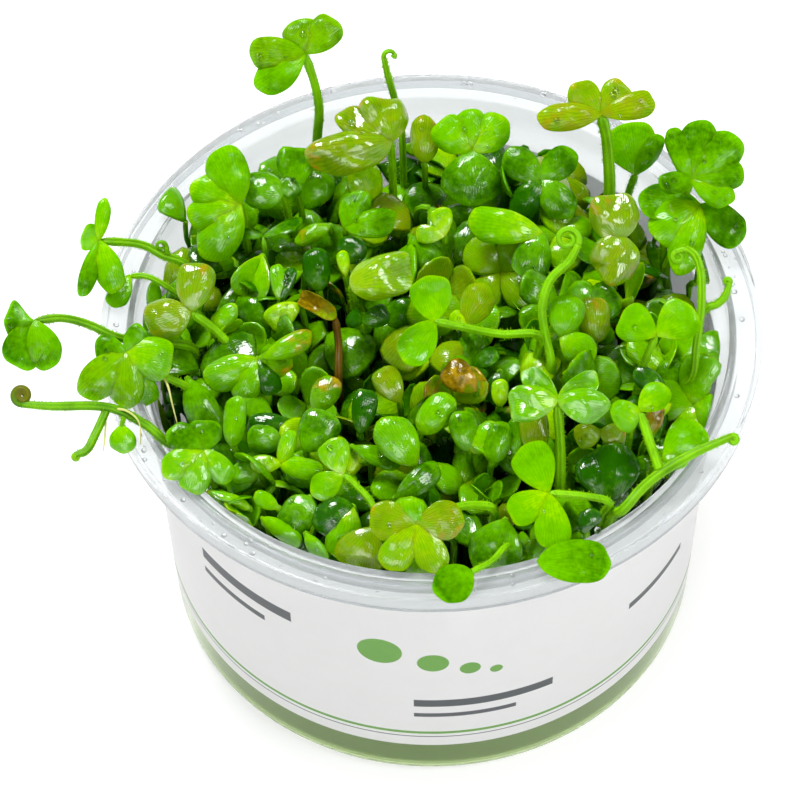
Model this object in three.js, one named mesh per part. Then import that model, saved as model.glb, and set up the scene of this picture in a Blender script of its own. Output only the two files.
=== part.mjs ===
// A clear plastic culture tub with a plain label, nutrient gel and a dense crown of four-leaf water fern.
// Units are millimetres, +Z is up, and the origin is the middle of the tub's base.
import * as THREE from "three";

// Driving dimensions of the tub.
const TUB_HEIGHT = 61;
const FLANGE_RADIUS = 50;
const FLANGE_INNER_RADIUS = 45;
const FLANGE_THICKNESS = 0.9;
const SKIRT_DROP = 3.1;
const BASE_RADIUS = 40.8;
const WALL_TAPER = 0.051;
const WALL_THICKNESS = 0.9;
const FLOOR_THICKNESS = 1.0;
const BASE_CORNER_RADIUS = 3;
const SEAT_BOTTOM_Z = 54;
const SEAT_TOP_Z = 56.2;
const EDGE_RADIUS = 0.4;
const ROUND_SEGMENTS = 48;

// What lies against the tub.
const FIT_GAP = 0.3;
const LABEL_GAP = 0.1;
const LABEL_THICKNESS = 0.25;
const LABEL_BOTTOM_Z = 8.8;
const LABEL_TOP_Z = 53.2;
const GEL_TOP_Z = 12;

// The low plantlets, as a round middle clump and a ring of clumps around it.
const CLUMP_BOTTOM_Z = GEL_TOP_Z + FIT_GAP;
const CLUMP_WALL_GAP = 0.5;
const CLUMP_SPLIT = 0.4;
const MIDDLE_CLUMP_RADIUS = 15;
const RING_CLUMPS = ["right", "back", "back_left", "front_left", "front"];
const CROWN_Z = 60;

// The fronds.
const BLADE_THICKNESS = 0.8;
const JOINT_RADIUS = 0.6;
const STALK_TO_BLADE = 1.3;
const STALK_SIDES = 8;

const colours = {
  clear: { color: 0xeef2f1, roughness: 0.08, metalness: 0 },
  paper: { color: 0xe6e6e3, roughness: 0.6, metalness: 0 },
  gel: { color: 0x97b37e, roughness: 0.3, metalness: 0 },
  crown: { color: 0x3f8f0c, roughness: 0.45, metalness: 0 },
  leaf: { color: 0x63b300, roughness: 0.35, metalness: 0 },
  olive: { color: 0x8f9a1c, roughness: 0.35, metalness: 0 },
  stalk: { color: 0x5cb800, roughness: 0.5, metalness: 0 },
  withered: { color: 0x8a5a1e, roughness: 0.7, metalness: 0 },
};

const plant = new THREE.Group();

function addNode(name, geometry, look) {
  const mesh = new THREE.Mesh(geometry, new THREE.MeshStandardMaterial(colours[look]));
  mesh.name = name;
  plant.add(mesh);
}

// A turned solid from [radius, z] points.
function turned(profile) {
  const points = profile.map(([r, z]) => new THREE.Vector2(r, z));
  return new THREE.LatheGeometry(points, ROUND_SEGMENTS).rotateX(Math.PI / 2);
}

// Points [radius, z] of a quarter round that starts at startAngle, in radians.
function quarterRound(centreR, centreZ, radius, startAngle, steps = 4) {
  return Array.from({ length: steps + 1 }, (_, i) => {
    const angle = startAngle + (i / steps) * (Math.PI / 2);
    return [centreR + radius * Math.cos(angle), centreZ + radius * Math.sin(angle)];
  });
}

function outerWall(z) {
  return BASE_RADIUS + WALL_TAPER * z;
}

function innerWall(z) {
  return outerWall(z) - WALL_THICKNESS;
}

// The tub: flat floor, rounded corner, tapered wall, seat step, flat flange and a short drop skirt.
function tub() {
  const seatOuter = FLANGE_INNER_RADIUS + WALL_THICKNESS;
  const flangeUnder = TUB_HEIGHT - FLANGE_THICKNESS;
  const skirtInner = FLANGE_RADIUS - FLANGE_THICKNESS;
  const cornerR = outerWall(BASE_CORNER_RADIUS) - BASE_CORNER_RADIUS;
  const innerCorner = BASE_CORNER_RADIUS - WALL_THICKNESS;
  const cornerTop = FLOOR_THICKNESS + innerCorner;
  const cavityCorner = quarterRound(cornerR, cornerTop, innerCorner, 0);
  return turned([
    [0, 0],
    ...quarterRound(cornerR, BASE_CORNER_RADIUS, BASE_CORNER_RADIUS, -Math.PI / 2),
    [outerWall(SEAT_BOTTOM_Z), SEAT_BOTTOM_Z],
    [seatOuter, SEAT_TOP_Z],
    [seatOuter, flangeUnder],
    [skirtInner, flangeUnder],
    [skirtInner, TUB_HEIGHT - SKIRT_DROP],
    [FLANGE_RADIUS, TUB_HEIGHT - SKIRT_DROP],
    [FLANGE_RADIUS, TUB_HEIGHT - EDGE_RADIUS],
    [FLANGE_RADIUS - EDGE_RADIUS, TUB_HEIGHT],
    [FLANGE_INNER_RADIUS + EDGE_RADIUS, TUB_HEIGHT],
    [FLANGE_INNER_RADIUS, TUB_HEIGHT - EDGE_RADIUS],
    [FLANGE_INNER_RADIUS, SEAT_TOP_Z + WALL_THICKNESS],
    [innerWall(SEAT_BOTTOM_Z), SEAT_BOTTOM_Z + WALL_THICKNESS],
    ...cavityCorner.map(([r, z]) => [r, 2 * cornerTop - z]),
    [0, FLOOR_THICKNESS],
  ]);
}

function label() {
  const inner = (z) => outerWall(z) + LABEL_GAP;
  const outer = (z) => inner(z) + LABEL_THICKNESS;
  return turned([
    [inner(LABEL_BOTTOM_Z), LABEL_BOTTOM_Z],
    [outer(LABEL_BOTTOM_Z), LABEL_BOTTOM_Z],
    [outer(LABEL_TOP_Z), LABEL_TOP_Z],
    [inner(LABEL_TOP_Z), LABEL_TOP_Z],
    [inner(LABEL_BOTTOM_Z), LABEL_BOTTOM_Z],
  ]);
}

function gel() {
  const bottom = FLOOR_THICKNESS + FIT_GAP;
  const chamfer = BASE_CORNER_RADIUS - WALL_THICKNESS;
  const side = (z) => innerWall(z) - FIT_GAP;
  return turned([
    [0, bottom],
    [side(bottom) - chamfer, bottom],
    [side(bottom + chamfer), bottom + chamfer],
    [side(GEL_TOP_Z), GEL_TOP_Z],
    [0, GEL_TOP_Z],
  ]);
}

// Turns +Z to the way a blade faces: tilt from upright, towards a compass direction, both in degrees.
function facingTurn([tilt, towards]) {
  const t = THREE.MathUtils.degToRad(tilt);
  const a = THREE.MathUtils.degToRad(towards);
  const normal = new THREE.Vector3(Math.sin(t) * Math.cos(a), Math.sin(t) * Math.sin(a), Math.cos(t));
  return new THREE.Quaternion().setFromUnitVectors(new THREE.Vector3(0, 0, 1), normal);
}

// Half the angle that a fan-shaped leaflet spans at the joint, from its length and greatest width.
function halfSpan(length, width) {
  return Math.asin(Math.min(1, width / (1.6 * length))) / 0.75;
}

// How far a leaflet reaches from the joint, at an angle away from its midline.
function reach([, length, width], angle) {
  const share = Math.abs(angle) / halfSpan(length, width);
  return share < 1 ? length * (1 - share ** 3) ** 0.4 : 0;
}

// The outline of a whole blade around its joint, as [angle, distance],
// for [direction, length, width] leaflets.
function bladeOutline(leaflets) {
  const wrap = (angle) => Math.atan2(Math.sin(angle), Math.cos(angle));
  const angles = [];
  for (const [direction, length, width] of leaflets) {
    const middle = THREE.MathUtils.degToRad(direction);
    for (const share of [-1, -0.92, -0.7, -0.35, 0, 0.35, 0.7, 0.92, 1]) {
      angles.push(wrap(middle + share * halfSpan(length, width)));
    }
  }
  for (let quarter = 0; quarter < 4; quarter += 1) {
    angles.push(wrap((quarter * Math.PI) / 2 + 0.4));
  }
  angles.sort((a, b) => a - b);
  const spaced = angles.filter((angle, i) => i === 0 || angle - angles[i - 1] > 0.02);
  return spaced.map((angle) => {
    const reaches = leaflets.map((leaflet) => {
      return reach(leaflet, wrap(angle - THREE.MathUtils.degToRad(leaflet[0])));
    });
    return [angle, Math.max(JOINT_RADIUS, ...reaches)];
  });
}

function blade({ joint, facing, leaflets }) {
  const shape = new THREE.Shape(
    bladeOutline(leaflets).map(([angle, distance]) => {
      return new THREE.Vector2(distance * Math.cos(angle), distance * Math.sin(angle));
    }),
  );
  return new THREE.ExtrudeGeometry(shape, { depth: BLADE_THICKNESS, bevelEnabled: false })
    .translate(0, 0, -BLADE_THICKNESS / 2)
    .applyQuaternion(facingTurn(facing))
    .translate(...joint);
}

// A round stalk of one thickness along smooth points.
function stalk(points, thickness, steps = 3 * points.length) {
  const path = new THREE.CatmullRomCurve3(points.map((p) => new THREE.Vector3(...p)));
  const section = new THREE.Shape(
    Array.from({ length: STALK_SIDES }, (_, i) => {
      const angle = (i / STALK_SIDES) * 2 * Math.PI;
      return new THREE.Vector2(Math.cos(angle), Math.sin(angle)).multiplyScalar(thickness / 2);
    }),
  );
  return new THREE.ExtrudeGeometry(section, { steps, extrudePath: path });
}

// The stalk's points up to just under the blade's joint.
function towardsJoint({ stalk: points, joint, facing }) {
  const under = new THREE.Vector3(0, 0, -STALK_TO_BLADE).applyQuaternion(facingTurn(facing));
  return [...points, under.add(new THREE.Vector3(...joint)).toArray()];
}

// Fronds: stalk points from the crown up, the joint of the blade, the way it faces,
// and its leaflets as [direction, length, width].
const CAMERA_WARD = [36, -90];
const fronds = {
  tall: {
    stalk: [[-17.5, 34.5, 62], [-17, 35.5, 69], [-17.5, 36.5, 74]],
    thickness: 1.5,
    joint: [-19, 38, 80],
    facing: CAMERA_WARD,
    leaflets: [[46, 7.2, 5.4], [98, 5.2, 6.2], [180, 8.6, 5.2], [-143, 8.8, 5.8]],
  },
  left_clover: {
    stalk: [[-37, 9.5, 64], [-40.5, 10, 66], [-44, 11, 67.5]],
    thickness: 1.4,
    joint: [-50, 10.5, 69],
    facing: CAMERA_WARD,
    leaflets: [[81, 6.3, 2.4], [160, 2.8, 4.4], [-107, 8.6, 2.9], [-72, 8, 4.6]],
  },
  left_under: {
    joint: [-45.5, 7.1, 64.7],
    facing: CAMERA_WARD,
    leaflets: [[-120, 5.4, 3.6]],
  },
  left_folded: {
    stalk: [[-47, -5.5, 66], [-51, -4.5, 67.8], [-55, -4, 68.8]],
    thickness: 1.4,
    joint: [-59, -5, 69.5],
    facing: CAMERA_WARD,
    leaflets: [[180, 4.8, 6.4], [-112, 7.6, 6.4], [-72, 7.4, 5.4]],
  },
  left_fan: {
    joint: [-45.5, -9, 67],
    facing: CAMERA_WARD,
    leaflets: [[-134, 9, 6], [-90, 8.2, 5.8], [-14, 7.4, 7], [57, 4.6, 3.2], [168, 4.8, 4]],
  },
  left_hanging: {
    joint: [-45.8, -20.6, 64.2],
    facing: CAMERA_WARD,
    leaflets: [[-88, 4, 4.3]],
  },
  left_upright: {
    joint: [-29, 19, 67],
    facing: [45, -80],
    leaflets: [[112, 9, 7], [160, 7.8, 5.6], [-162, 8, 5.6], [-119, 9.6, 7]],
  },
  back_left_bulb: {
    joint: [-22.5, 22, 66],
    facing: [30, -90],
    leaflets: [[172, 6.4, 6.2], [40, 3, 4]],
  },
  back_ripple: {
    joint: [-6, 28, 71],
    facing: CAMERA_WARD,
    leaflets: [[112, 7, 9], [-172, 12.6, 7.4], [150, 9, 5]],
  },
  left_olive: {
    stalk: [[-28.5, -4.5, 58], [-32, -2.5, 63]],
    thickness: 1.5,
    joint: [-36, -1.5, 67],
    facing: CAMERA_WARD,
    leaflets: [[80, 7.6, 6.2], [-162, 7, 7]],
  },
  left_rim: {
    joint: [-33.5, -25.7, 65],
    facing: [30, -80],
    leaflets: [[150, 6, 4.6], [-150, 7, 4.6], [-108, 6.8, 5], [-48, 6.2, 3.8], [88, 4.6, 5.4]],
  },
  front_left_small: {
    joint: [-13, -29.5, 64],
    facing: CAMERA_WARD,
    leaflets: [[112, 5.6, 4.8], [-148, 5.4, 4.4]],
  },
  front_fan: {
    stalk: [[9, -34, 61], [6.5, -34.5, 63], [3, -36.5, 65]],
    thickness: 1.4,
    joint: [-2.5, -40, 66],
    facing: CAMERA_WARD,
    leaflets: [[172, 6.6, 6], [-122, 7.8, 5], [-62, 7.8, 5], [8, 7, 6]],
  },
  front_round: {
    joint: [5.5, -47, 64],
    facing: [20, -90],
    leaflets: [[-145, 6, 6]],
  },
  front_oval: {
    joint: [15.5, -45, 63.5],
    facing: [16, -90],
    leaflets: [[0, 10.6, 6.6]],
  },
  front_clover: {
    stalk: [[26, -33.5, 62], [22, -34, 64.5]],
    thickness: 1.2,
    joint: [17, -34.5, 66],
    facing: [26, -90],
    leaflets: [[115, 8, 6.4], [-148, 6.8, 5], [-84, 8.6, 5.4]],
  },
  wet_pair: {
    stalk: [[19, -27, 58], [19, -24.5, 63]],
    thickness: 1.6,
    joint: [18.5, -21, 70.5],
    facing: CAMERA_WARD,
    leaflets: [[138, 6.6, 3.6], [-174, 7.6, 5.6], [-12, 7.4, 5.4], [30, 7, 3.6]],
  },
  right_bright: {
    stalk: [[31, -10.5, 61], [32, -9.5, 65]],
    thickness: 1.2,
    joint: [33.5, -8, 69],
    facing: CAMERA_WARD,
    leaflets: [[152, 6.2, 6], [34, 6.8, 6.6]],
  },
  back_olive: {
    stalk: [[27.5, 24, 64], [27, 27.6, 71]],
    thickness: 1.9,
    joint: [26, 28, 77],
    facing: CAMERA_WARD,
    leaflets: [[-176, 9.4, 4.6], [132, 6.2, 5], [52, 6, 5], [14, 8.6, 4.4]],
  },
  back_round: {
    joint: [31.5, 26, 65],
    facing: CAMERA_WARD,
    leaflets: [[100, 8, 8.4], [58, 7, 3.4]],
  },
  right_upper: {
    stalk: [[41.5, 7, 62], [41.5, 10.5, 66]],
    thickness: 1.4,
    joint: [39.5, 18.5, 73],
    facing: [28, -90],
    leaflets: [[112, 8.4, 3.6], [78, 9, 6.6], [44, 9.4, 7], [10, 8, 5.6], [-30, 7, 4.4], [-170, 5, 3.6]],
  },
  right_lower: {
    joint: [41, 17.5, 68],
    facing: [30, -80],
    leaflets: [[-38, 8.4, 6.2], [178, 9.4, 6], [-142, 8.6, 8], [-108, 11, 5.4]],
  },
  right_peanut: {
    joint: [29, 9, 71],
    facing: CAMERA_WARD,
    leaflets: [[122, 7, 8], [-116, 7, 8]],
  },
  middle_bright: {
    stalk: [[16, -6, 66.5], [10.5, -6.5, 67.5], [4.5, -7, 70]],
    thickness: 1.3,
    joint: [0.5, -7, 71.5],
    facing: CAMERA_WARD,
    leaflets: [[97, 6.8, 6.4], [-126, 7.6, 5.6]],
  },
  middle_glossy: {
    joint: [-12, 4, 66],
    facing: [30, -90],
    leaflets: [[15, 10, 7.4]],
  },
  back_crown: {
    joint: [6.5, 30, 66],
    facing: CAMERA_WARD,
    leaflets: [[140, 7, 6.2], [95, 6.4, 5.4], [45, 7, 6.2], [-92, 8.2, 10]],
  },
  back_dark: {
    joint: [17, 25, 65],
    facing: CAMERA_WARD,
    leaflets: [[142, 6.8, 5.4], [42, 6.6, 5.2], [-125, 7, 4.8], [-52, 7, 5.6]],
  },
  middle_drop: {
    joint: [17, 14.5, 65],
    facing: [30, -90],
    leaflets: [[170, 11.5, 5.8], [-112, 7.6, 6.2]],
  },
  right_runner: {
    joint: [30.5, -22.5, 70],
    facing: CAMERA_WARD,
    leaflets: [[-158, 4.2, 5.2], [40, 5.2, 4.4]],
  },
  right_side: {
    joint: [34, -27.5, 64.5],
    facing: [30, -80],
    leaflets: [[42, 7.6, 6.2], [-5, 3.5, 2.6]],
  },
  withered: {
    stalk: [[-14, -6, 56], [-14, -1, 58]],
    thickness: 1.1,
    joint: [-14.5, 1.5, 61.5],
    facing: [30, -90],
    leaflets: [[150, 7, 3.2]],
  },
};
const OLIVE_BLADES = [
  "left_olive", "back_ripple", "front_fan", "back_olive", "right_peanut", "middle_glossy",
];

// Coiled young fronds and creeping runners, as tubes.
const shoots = {
  crozier_back: {
    thickness: 1.1,
    points: [
      [-4.5, 37, 65], [-5.5, 38.5, 69], [-6.5, 40, 73], [-7, 41, 75.4],
      [-5.9, 41.2, 76.2], [-4.9, 40.9, 75.4],
    ],
  },
  crozier_middle: {
    thickness: 1.3,
    points: [
      [18, -8.5, 62], [17.2, -5.5, 65], [16.6, -2.5, 68.5], [17.8, 0.2, 71.8],
      [20.6, 2.2, 73.8], [22, 4, 75.6], [20.3, 5.6, 76.8], [18.6, 4.2, 75.7],
    ],
  },
  crozier_right: {
    thickness: 1.2,
    points: [
      [39, -10, 61.5], [39.6, -7, 65], [40.2, -4, 68.5], [40.4, -1.4, 71.2],
      [40.2, 1.2, 73], [39.4, 3, 74.1], [38, 3.8, 74.5], [36.6, 3.5, 74.3], [35.8, 2.4, 73.5],
    ],
  },
  crozier_small: {
    thickness: 1.2,
    points: [[41.5, 1.5, 63], [43, 1.8, 63.6], [44.3, 2.5, 64.8], [45, 3.5, 66.3]],
  },
  runner_left: {
    thickness: 1.4,
    points: [
      [-39.5, -22.5, 63], [-42.5, -20.5, 64.5], [-48, -18.5, 66], [-56, -19, 67],
      [-60.6, -18.8, 67.3], [-62.2, -17.4, 68.6],
    ],
  },
  runner_left_branch: {
    thickness: 1.3,
    points: [[-48.4, -20, 64.9], [-49.5, -22, 64.6], [-50.5, -25, 64.3], [-53.5, -26, 64.3]],
  },
  runner_right: {
    thickness: 1.5,
    points: [[28, -35, 62.3], [30.5, -32.5, 63.7], [33.5, -30.5, 65.2], [38.5, -28, 66.7], [44, -26, 68]],
  },
  runner_right_branch: {
    thickness: 1.4,
    points: [[33, -29, 66.4], [32, -26.5, 67.4], [31, -24, 68.6]],
  },
};

// Every place where a frond or a shoot is, so that the crown stays below it.
const PRESSED_REACH = 4;
const PRESSED_GAP = 1;
const PRESSED_FLAT = 1.6;
const PRESSED_SLOPE = 0.9;

function pressedPoints() {
  const places = [];
  for (const frond of Object.values(fronds)) {
    const turn = facingTurn(frond.facing);
    for (const [angle, distance] of bladeOutline(frond.leaflets)) {
      for (const share of [0.3, 0.65, 1]) {
        const place = new THREE.Vector3(Math.cos(angle), Math.sin(angle), 0);
        place.multiplyScalar(share * distance).applyQuaternion(turn);
        places.push(place.add(new THREE.Vector3(...frond.joint)));
      }
    }
    places.push(...(frond.stalk ?? []).map((p) => new THREE.Vector3(...p)));
  }
  for (const { points } of Object.values(shoots)) {
    places.push(...new THREE.CatmullRomCurve3(points.map((p) => new THREE.Vector3(...p))).getPoints(12));
  }
  return places;
}

const pressed = pressedPoints();

// Height of the low crown: gently rippled, higher at the back, with a hollow left of the middle
// and a gap at the right, and pressed down under every frond.
function crownHeight(x, y) {
  const dip = (cx, cy, depth, size) => depth * Math.exp(-((x - cx) ** 2 + (y - cy) ** 2) / size ** 2);
  let height = CROWN_Z + 0.05 * y + 1.2 * Math.sin(0.55 * x + 0.8) * Math.cos(0.5 * y);
  height -= dip(-12, -1, 6, 7) + dip(35, 15, 10, 5);
  for (const place of pressed) {
    const away = Math.hypot(place.x - x, place.y - y);
    if (away < PRESSED_REACH) {
      const below = place.z - PRESSED_GAP - BLADE_THICKNESS / 2;
      height = Math.min(height, below + PRESSED_SLOPE * Math.max(0, away - PRESSED_FLAT));
    }
  }
  return height;
}

// A closed clump over a grid of rings and spokes. A full round has its spokes joined up.
function clump(innerR, outerBottomR, outerTopR, fromAngle, toAngle, rings, spokes) {
  const round = toAngle - fromAngle > 2 * Math.PI - 1e-6;
  const columns = round ? spokes : spokes + 1;
  const positions = [];
  for (const top of [true, false]) {
    for (let ring = 0; ring <= rings; ring += 1) {
      for (let spoke = 0; spoke < columns; spoke += 1) {
        const outer = top ? outerTopR : outerBottomR;
        const radius = innerR + ((outer - innerR) * ring) / rings;
        const angle = fromAngle + ((toAngle - fromAngle) * spoke) / spokes;
        const x = radius * Math.cos(angle);
        const y = radius * Math.sin(angle);
        positions.push(x, y, top ? crownHeight(x, y) : CLUMP_BOTTOM_Z);
      }
    }
  }
  const at = (top, ring, spoke) => {
    return (top ? 0 : (rings + 1) * columns) + ring * columns + (round ? spoke % columns : spoke);
  };
  const triangles = [];
  const quad = (...corners) => {
    const [a, b, c, d] = corners.map((corner) => at(...corner));
    triangles.push(a, b, c, a, c, d);
  };
  for (let i = 0; i < rings; i += 1) {
    for (let j = 0; j < spokes; j += 1) {
      quad([true, i, j], [true, i + 1, j], [true, i + 1, j + 1], [true, i, j + 1]);
      quad([false, i, j], [false, i, j + 1], [false, i + 1, j + 1], [false, i + 1, j]);
    }
  }
  for (let j = 0; j < spokes; j += 1) {
    quad([true, rings, j], [false, rings, j], [false, rings, j + 1], [true, rings, j + 1]);
    if (innerR > 0) {
      quad([true, 0, j + 1], [false, 0, j + 1], [false, 0, j], [true, 0, j]);
    }
  }
  if (!round) {
    for (let i = 0; i < rings; i += 1) {
      quad([true, i, 0], [false, i, 0], [false, i + 1, 0], [true, i + 1, 0]);
      quad([true, i + 1, spokes], [false, i + 1, spokes], [false, i, spokes], [true, i, spokes]);
    }
  }
  const geometry = new THREE.BufferGeometry();
  geometry.setAttribute("position", new THREE.Float32BufferAttribute(positions, 3));
  geometry.setIndex(triangles);
  return geometry;
}

function addClumps() {
  const outerBottom = innerWall(CLUMP_BOTTOM_Z) - CLUMP_WALL_GAP;
  const outerTop = innerWall(SEAT_BOTTOM_Z) - CLUMP_WALL_GAP;
  const middle = clump(0, MIDDLE_CLUMP_RADIUS, MIDDLE_CLUMP_RADIUS, 0, 2 * Math.PI, 5, 20);
  addNode("clump_middle", middle, "crown");
  const ringInner = MIDDLE_CLUMP_RADIUS + CLUMP_SPLIT;
  const share = (2 * Math.PI) / RING_CLUMPS.length;
  const splitAngle = CLUMP_SPLIT / ringInner;
  RING_CLUMPS.forEach((name, i) => {
    const from = -Math.PI / 10 + i * share;
    const to = from + share - splitAngle;
    addNode(`clump_${name}`, clump(ringInner, outerBottom, outerTop, from, to, 9, 10), "crown");
  });
}

addNode("tub", tub(), "clear");
addNode("label", label(), "paper");
addNode("gel", gel(), "gel");
addClumps();
for (const [name, frond] of Object.entries(fronds)) {
  const olive = OLIVE_BLADES.includes(name) ? "olive" : "leaf";
  addNode(`leaf_${name}`, blade(frond), name === "withered" ? "withered" : olive);
  if (frond.stalk) {
    const look = name === "withered" ? "withered" : "stalk";
    addNode(`stalk_${name}`, stalk(towardsJoint(frond), frond.thickness), look);
  }
}
for (const [name, shoot] of Object.entries(shoots)) {
  addNode(name, stalk(shoot.points, shoot.thickness, 2 * shoot.points.length), "stalk");
}

export default plant;
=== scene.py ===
"""Looks of a clear culture tub full of four-leaf water fern.

Tables are in millimetres and degrees, with +Z up and the origin under the middle of the tub's base.
Meshes are in metres.
"""

import logging
import math
from dataclasses import dataclass, field
from enum import Enum

import bpy
import numpy as np
from mathutils import Matrix

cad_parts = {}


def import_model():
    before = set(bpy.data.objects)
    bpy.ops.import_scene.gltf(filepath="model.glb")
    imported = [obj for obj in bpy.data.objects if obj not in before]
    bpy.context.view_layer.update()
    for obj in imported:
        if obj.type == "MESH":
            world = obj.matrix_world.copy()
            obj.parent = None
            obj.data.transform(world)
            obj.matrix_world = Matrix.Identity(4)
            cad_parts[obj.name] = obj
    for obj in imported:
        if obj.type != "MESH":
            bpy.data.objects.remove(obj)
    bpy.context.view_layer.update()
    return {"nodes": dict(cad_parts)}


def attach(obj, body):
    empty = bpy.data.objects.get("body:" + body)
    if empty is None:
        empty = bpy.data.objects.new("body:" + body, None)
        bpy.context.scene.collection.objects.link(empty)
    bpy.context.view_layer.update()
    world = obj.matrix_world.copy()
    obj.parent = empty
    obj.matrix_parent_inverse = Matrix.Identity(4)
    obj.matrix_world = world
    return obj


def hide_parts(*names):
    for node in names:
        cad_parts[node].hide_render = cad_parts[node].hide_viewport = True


Array = np.ndarray
Material = bpy.types.Material
Random = np.random.Generator
Point = tuple[float, float, float]
MM = 0.001
BODY = "root"
SEED = 20
log = logging.getLogger("tub")

# Sizes of the tub that more than one piece needs.
TUB_HEIGHT = 61.0
FLANGE_RADIUS = 50.0
FLANGE_INNER = 45.0
SKIRT_DROP = 3.1
GROOVE_RADIUS = 47.0
GROOVE_DEPTH = 0.2
BASE_RADIUS = 40.8
WALL_TAPER = 0.051
WALL = 0.9
CORNER = 3.0
SEAT_BOTTOM = 54.0
SEAT_TOP = 56.2
GEL_TOP = 12.0
LABEL_BOTTOM = 8.8
LABEL_TOP = 53.2
STALK_REACH = 40.5
JOINT_OVERLAP = 0.25
MIDDLE_CLUMP = 15.2
RING_CLUMPS = ("right", "back", "back_left", "front_left", "front")
CLUMP_TURN = -math.pi / 10


def outer_wall(z: Array | float) -> Array | float:
    """Outer radius of the tub's wall at a height, in millimetres."""
    return BASE_RADIUS + WALL_TAPER * z


def inner_wall(z: Array | float) -> Array | float:
    """Inner radius of the tub's wall at a height, in millimetres."""
    return outer_wall(z) - WALL


# Shader trees


class Value:
    """A shader socket that can be written into sums."""

    def __init__(self, tree: "Tree", socket: bpy.types.NodeSocket) -> None:
        """Keeps the tree that new nodes go into, and the socket."""
        self.tree = tree
        self.socket = socket

    def __add__(self, other: "Value | float") -> "Value":
        """Sum."""
        return self.tree.maths("ADD", self, other)

    __radd__ = __add__

    def __sub__(self, other: "Value | float") -> "Value":
        """Difference."""
        return self.tree.maths("SUBTRACT", self, other)

    def __rsub__(self, other: float) -> "Value":
        """Difference from a number."""
        return self.tree.maths("SUBTRACT", other, self)

    def __mul__(self, other: "Value | float") -> "Value":
        """Product."""
        return self.tree.maths("MULTIPLY", self, other)

    __rmul__ = __mul__

    def __truediv__(self, other: "Value | float") -> "Value":
        """Quotient."""
        return self.tree.maths("DIVIDE", self, other)


class Tree:
    """The node tree of one new material."""

    def __init__(self, name: str) -> None:
        """Makes the material with an empty tree.

        Args:
            name: The material's name.
        """
        self.material = bpy.data.materials.new(name)
        self.material.use_nodes = True
        self.material.node_tree.nodes.clear()

    def node(self, kind: str, settings: dict | None = None, inputs: dict | None = None) -> bpy.types.Node:
        """Adds any node.

        Args:
            kind: The node's type, without its ShaderNode prefix.
            settings: The node's own settings, made first.
            inputs: Values or Value links by socket name or number.

        Returns:
            The new node.
        """
        made = self.material.node_tree.nodes.new("ShaderNode" + kind)
        for key, setting in (settings or {}).items():
            setattr(made, key, setting)
        for key, given in (inputs or {}).items():
            if isinstance(given, Value):
                self.material.node_tree.links.new(given.socket, made.inputs[key])
            else:
                made.inputs[key].default_value = given
        return made

    def value(self, kind: str, output: str | int = 0, settings: dict | None = None,
              inputs: dict | None = None) -> Value:
        """Adds any node and returns one of its outputs as a Value."""
        return Value(self, self.node(kind, settings, inputs).outputs[output])

    def maths(self, operation: str, *terms: "Value | float") -> Value:
        """A Math node of that operation on the terms."""
        return self.value("Math", 0, {"operation": operation}, dict(enumerate(terms)))

    def smooth(self, amount: Value, low: float, high: float) -> Value:
        """0 below low, 1 above high, and smooth between."""
        settings = {"interpolation_type": "SMOOTHSTEP"}
        return self.value("MapRange", 0, settings, {"Value": amount, "From Min": low, "From Max": high})

    def mix(self, share: Value | float, a: Value | tuple, b: Value | tuple) -> Value:
        """Colour a turned into colour b by share."""
        settings = {"data_type": "RGBA", "clamp_factor": True}
        return self.value("Mix", 2, settings, {0: share, 6: a, 7: b})

    def noise(self, scale: float, detail: float = 2.0) -> Value:
        """Cloudy noise over the Object coordinates."""
        return self.value("TexNoise", 0, {}, {
            "Vector": self.value("TexCoord", "Object"), "Scale": scale, "Detail": detail})

    def mark(self, name: str) -> Value:
        """A number that the mesh holds at each point."""
        return self.value("Attribute", "Fac", {"attribute_name": name})

    def split(self, vector: Value) -> list[Value]:
        """The three numbers of a vector."""
        return [Value(self, part) for part in self.node("SeparateXYZ", {}, {0: vector}).outputs]

    def uv(self) -> list[Value]:
        """The two numbers of the piece's UV map."""
        return self.split(self.value("UVMap"))[:2]

    def height(self) -> Value:
        """Height above the floor in millimetres."""
        return self.split(self.value("TexCoord", "Object"))[2] / MM

    def bump(self, height: Value, strength: float, distance: float) -> Value:
        """A bumped normal; distance is in metres."""
        return self.value("Bump", 0, {}, {"Height": height, "Strength": strength, "Distance": distance})

    def finish(self, inputs: dict, film: dict | None = None, share: Value | None = None) -> Material:
        """Ends the tree in a Principled shader with these inputs, or in a mix of it and a film by share.

        Args:
            inputs: Values or Value links by socket name.
            film: What the film's Principled shader has different, by socket name.
            share: Share of the film.

        Returns:
            The material.
        """
        shader = self.value("BsdfPrincipled", 0, {}, inputs)
        if film is not None:
            other = self.value("BsdfPrincipled", 0, {}, inputs | film)
            shader = self.value("MixShader", 0, {}, {0: share, 1: shader, 2: other})
        self.node("OutputMaterial", {}, {"Surface": shader})
        return self.material


def rgb(red: int, green: int, blue: int) -> tuple[float, float, float, float]:
    """A colour seen on a screen, 0 to 255, as linear light."""
    seen = (red, green, blue)
    return tuple(((c / 255 + 0.055) / 1.055) ** 2.4 if c > 10 else c / 3295 for c in seen) + (1.0,)


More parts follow.
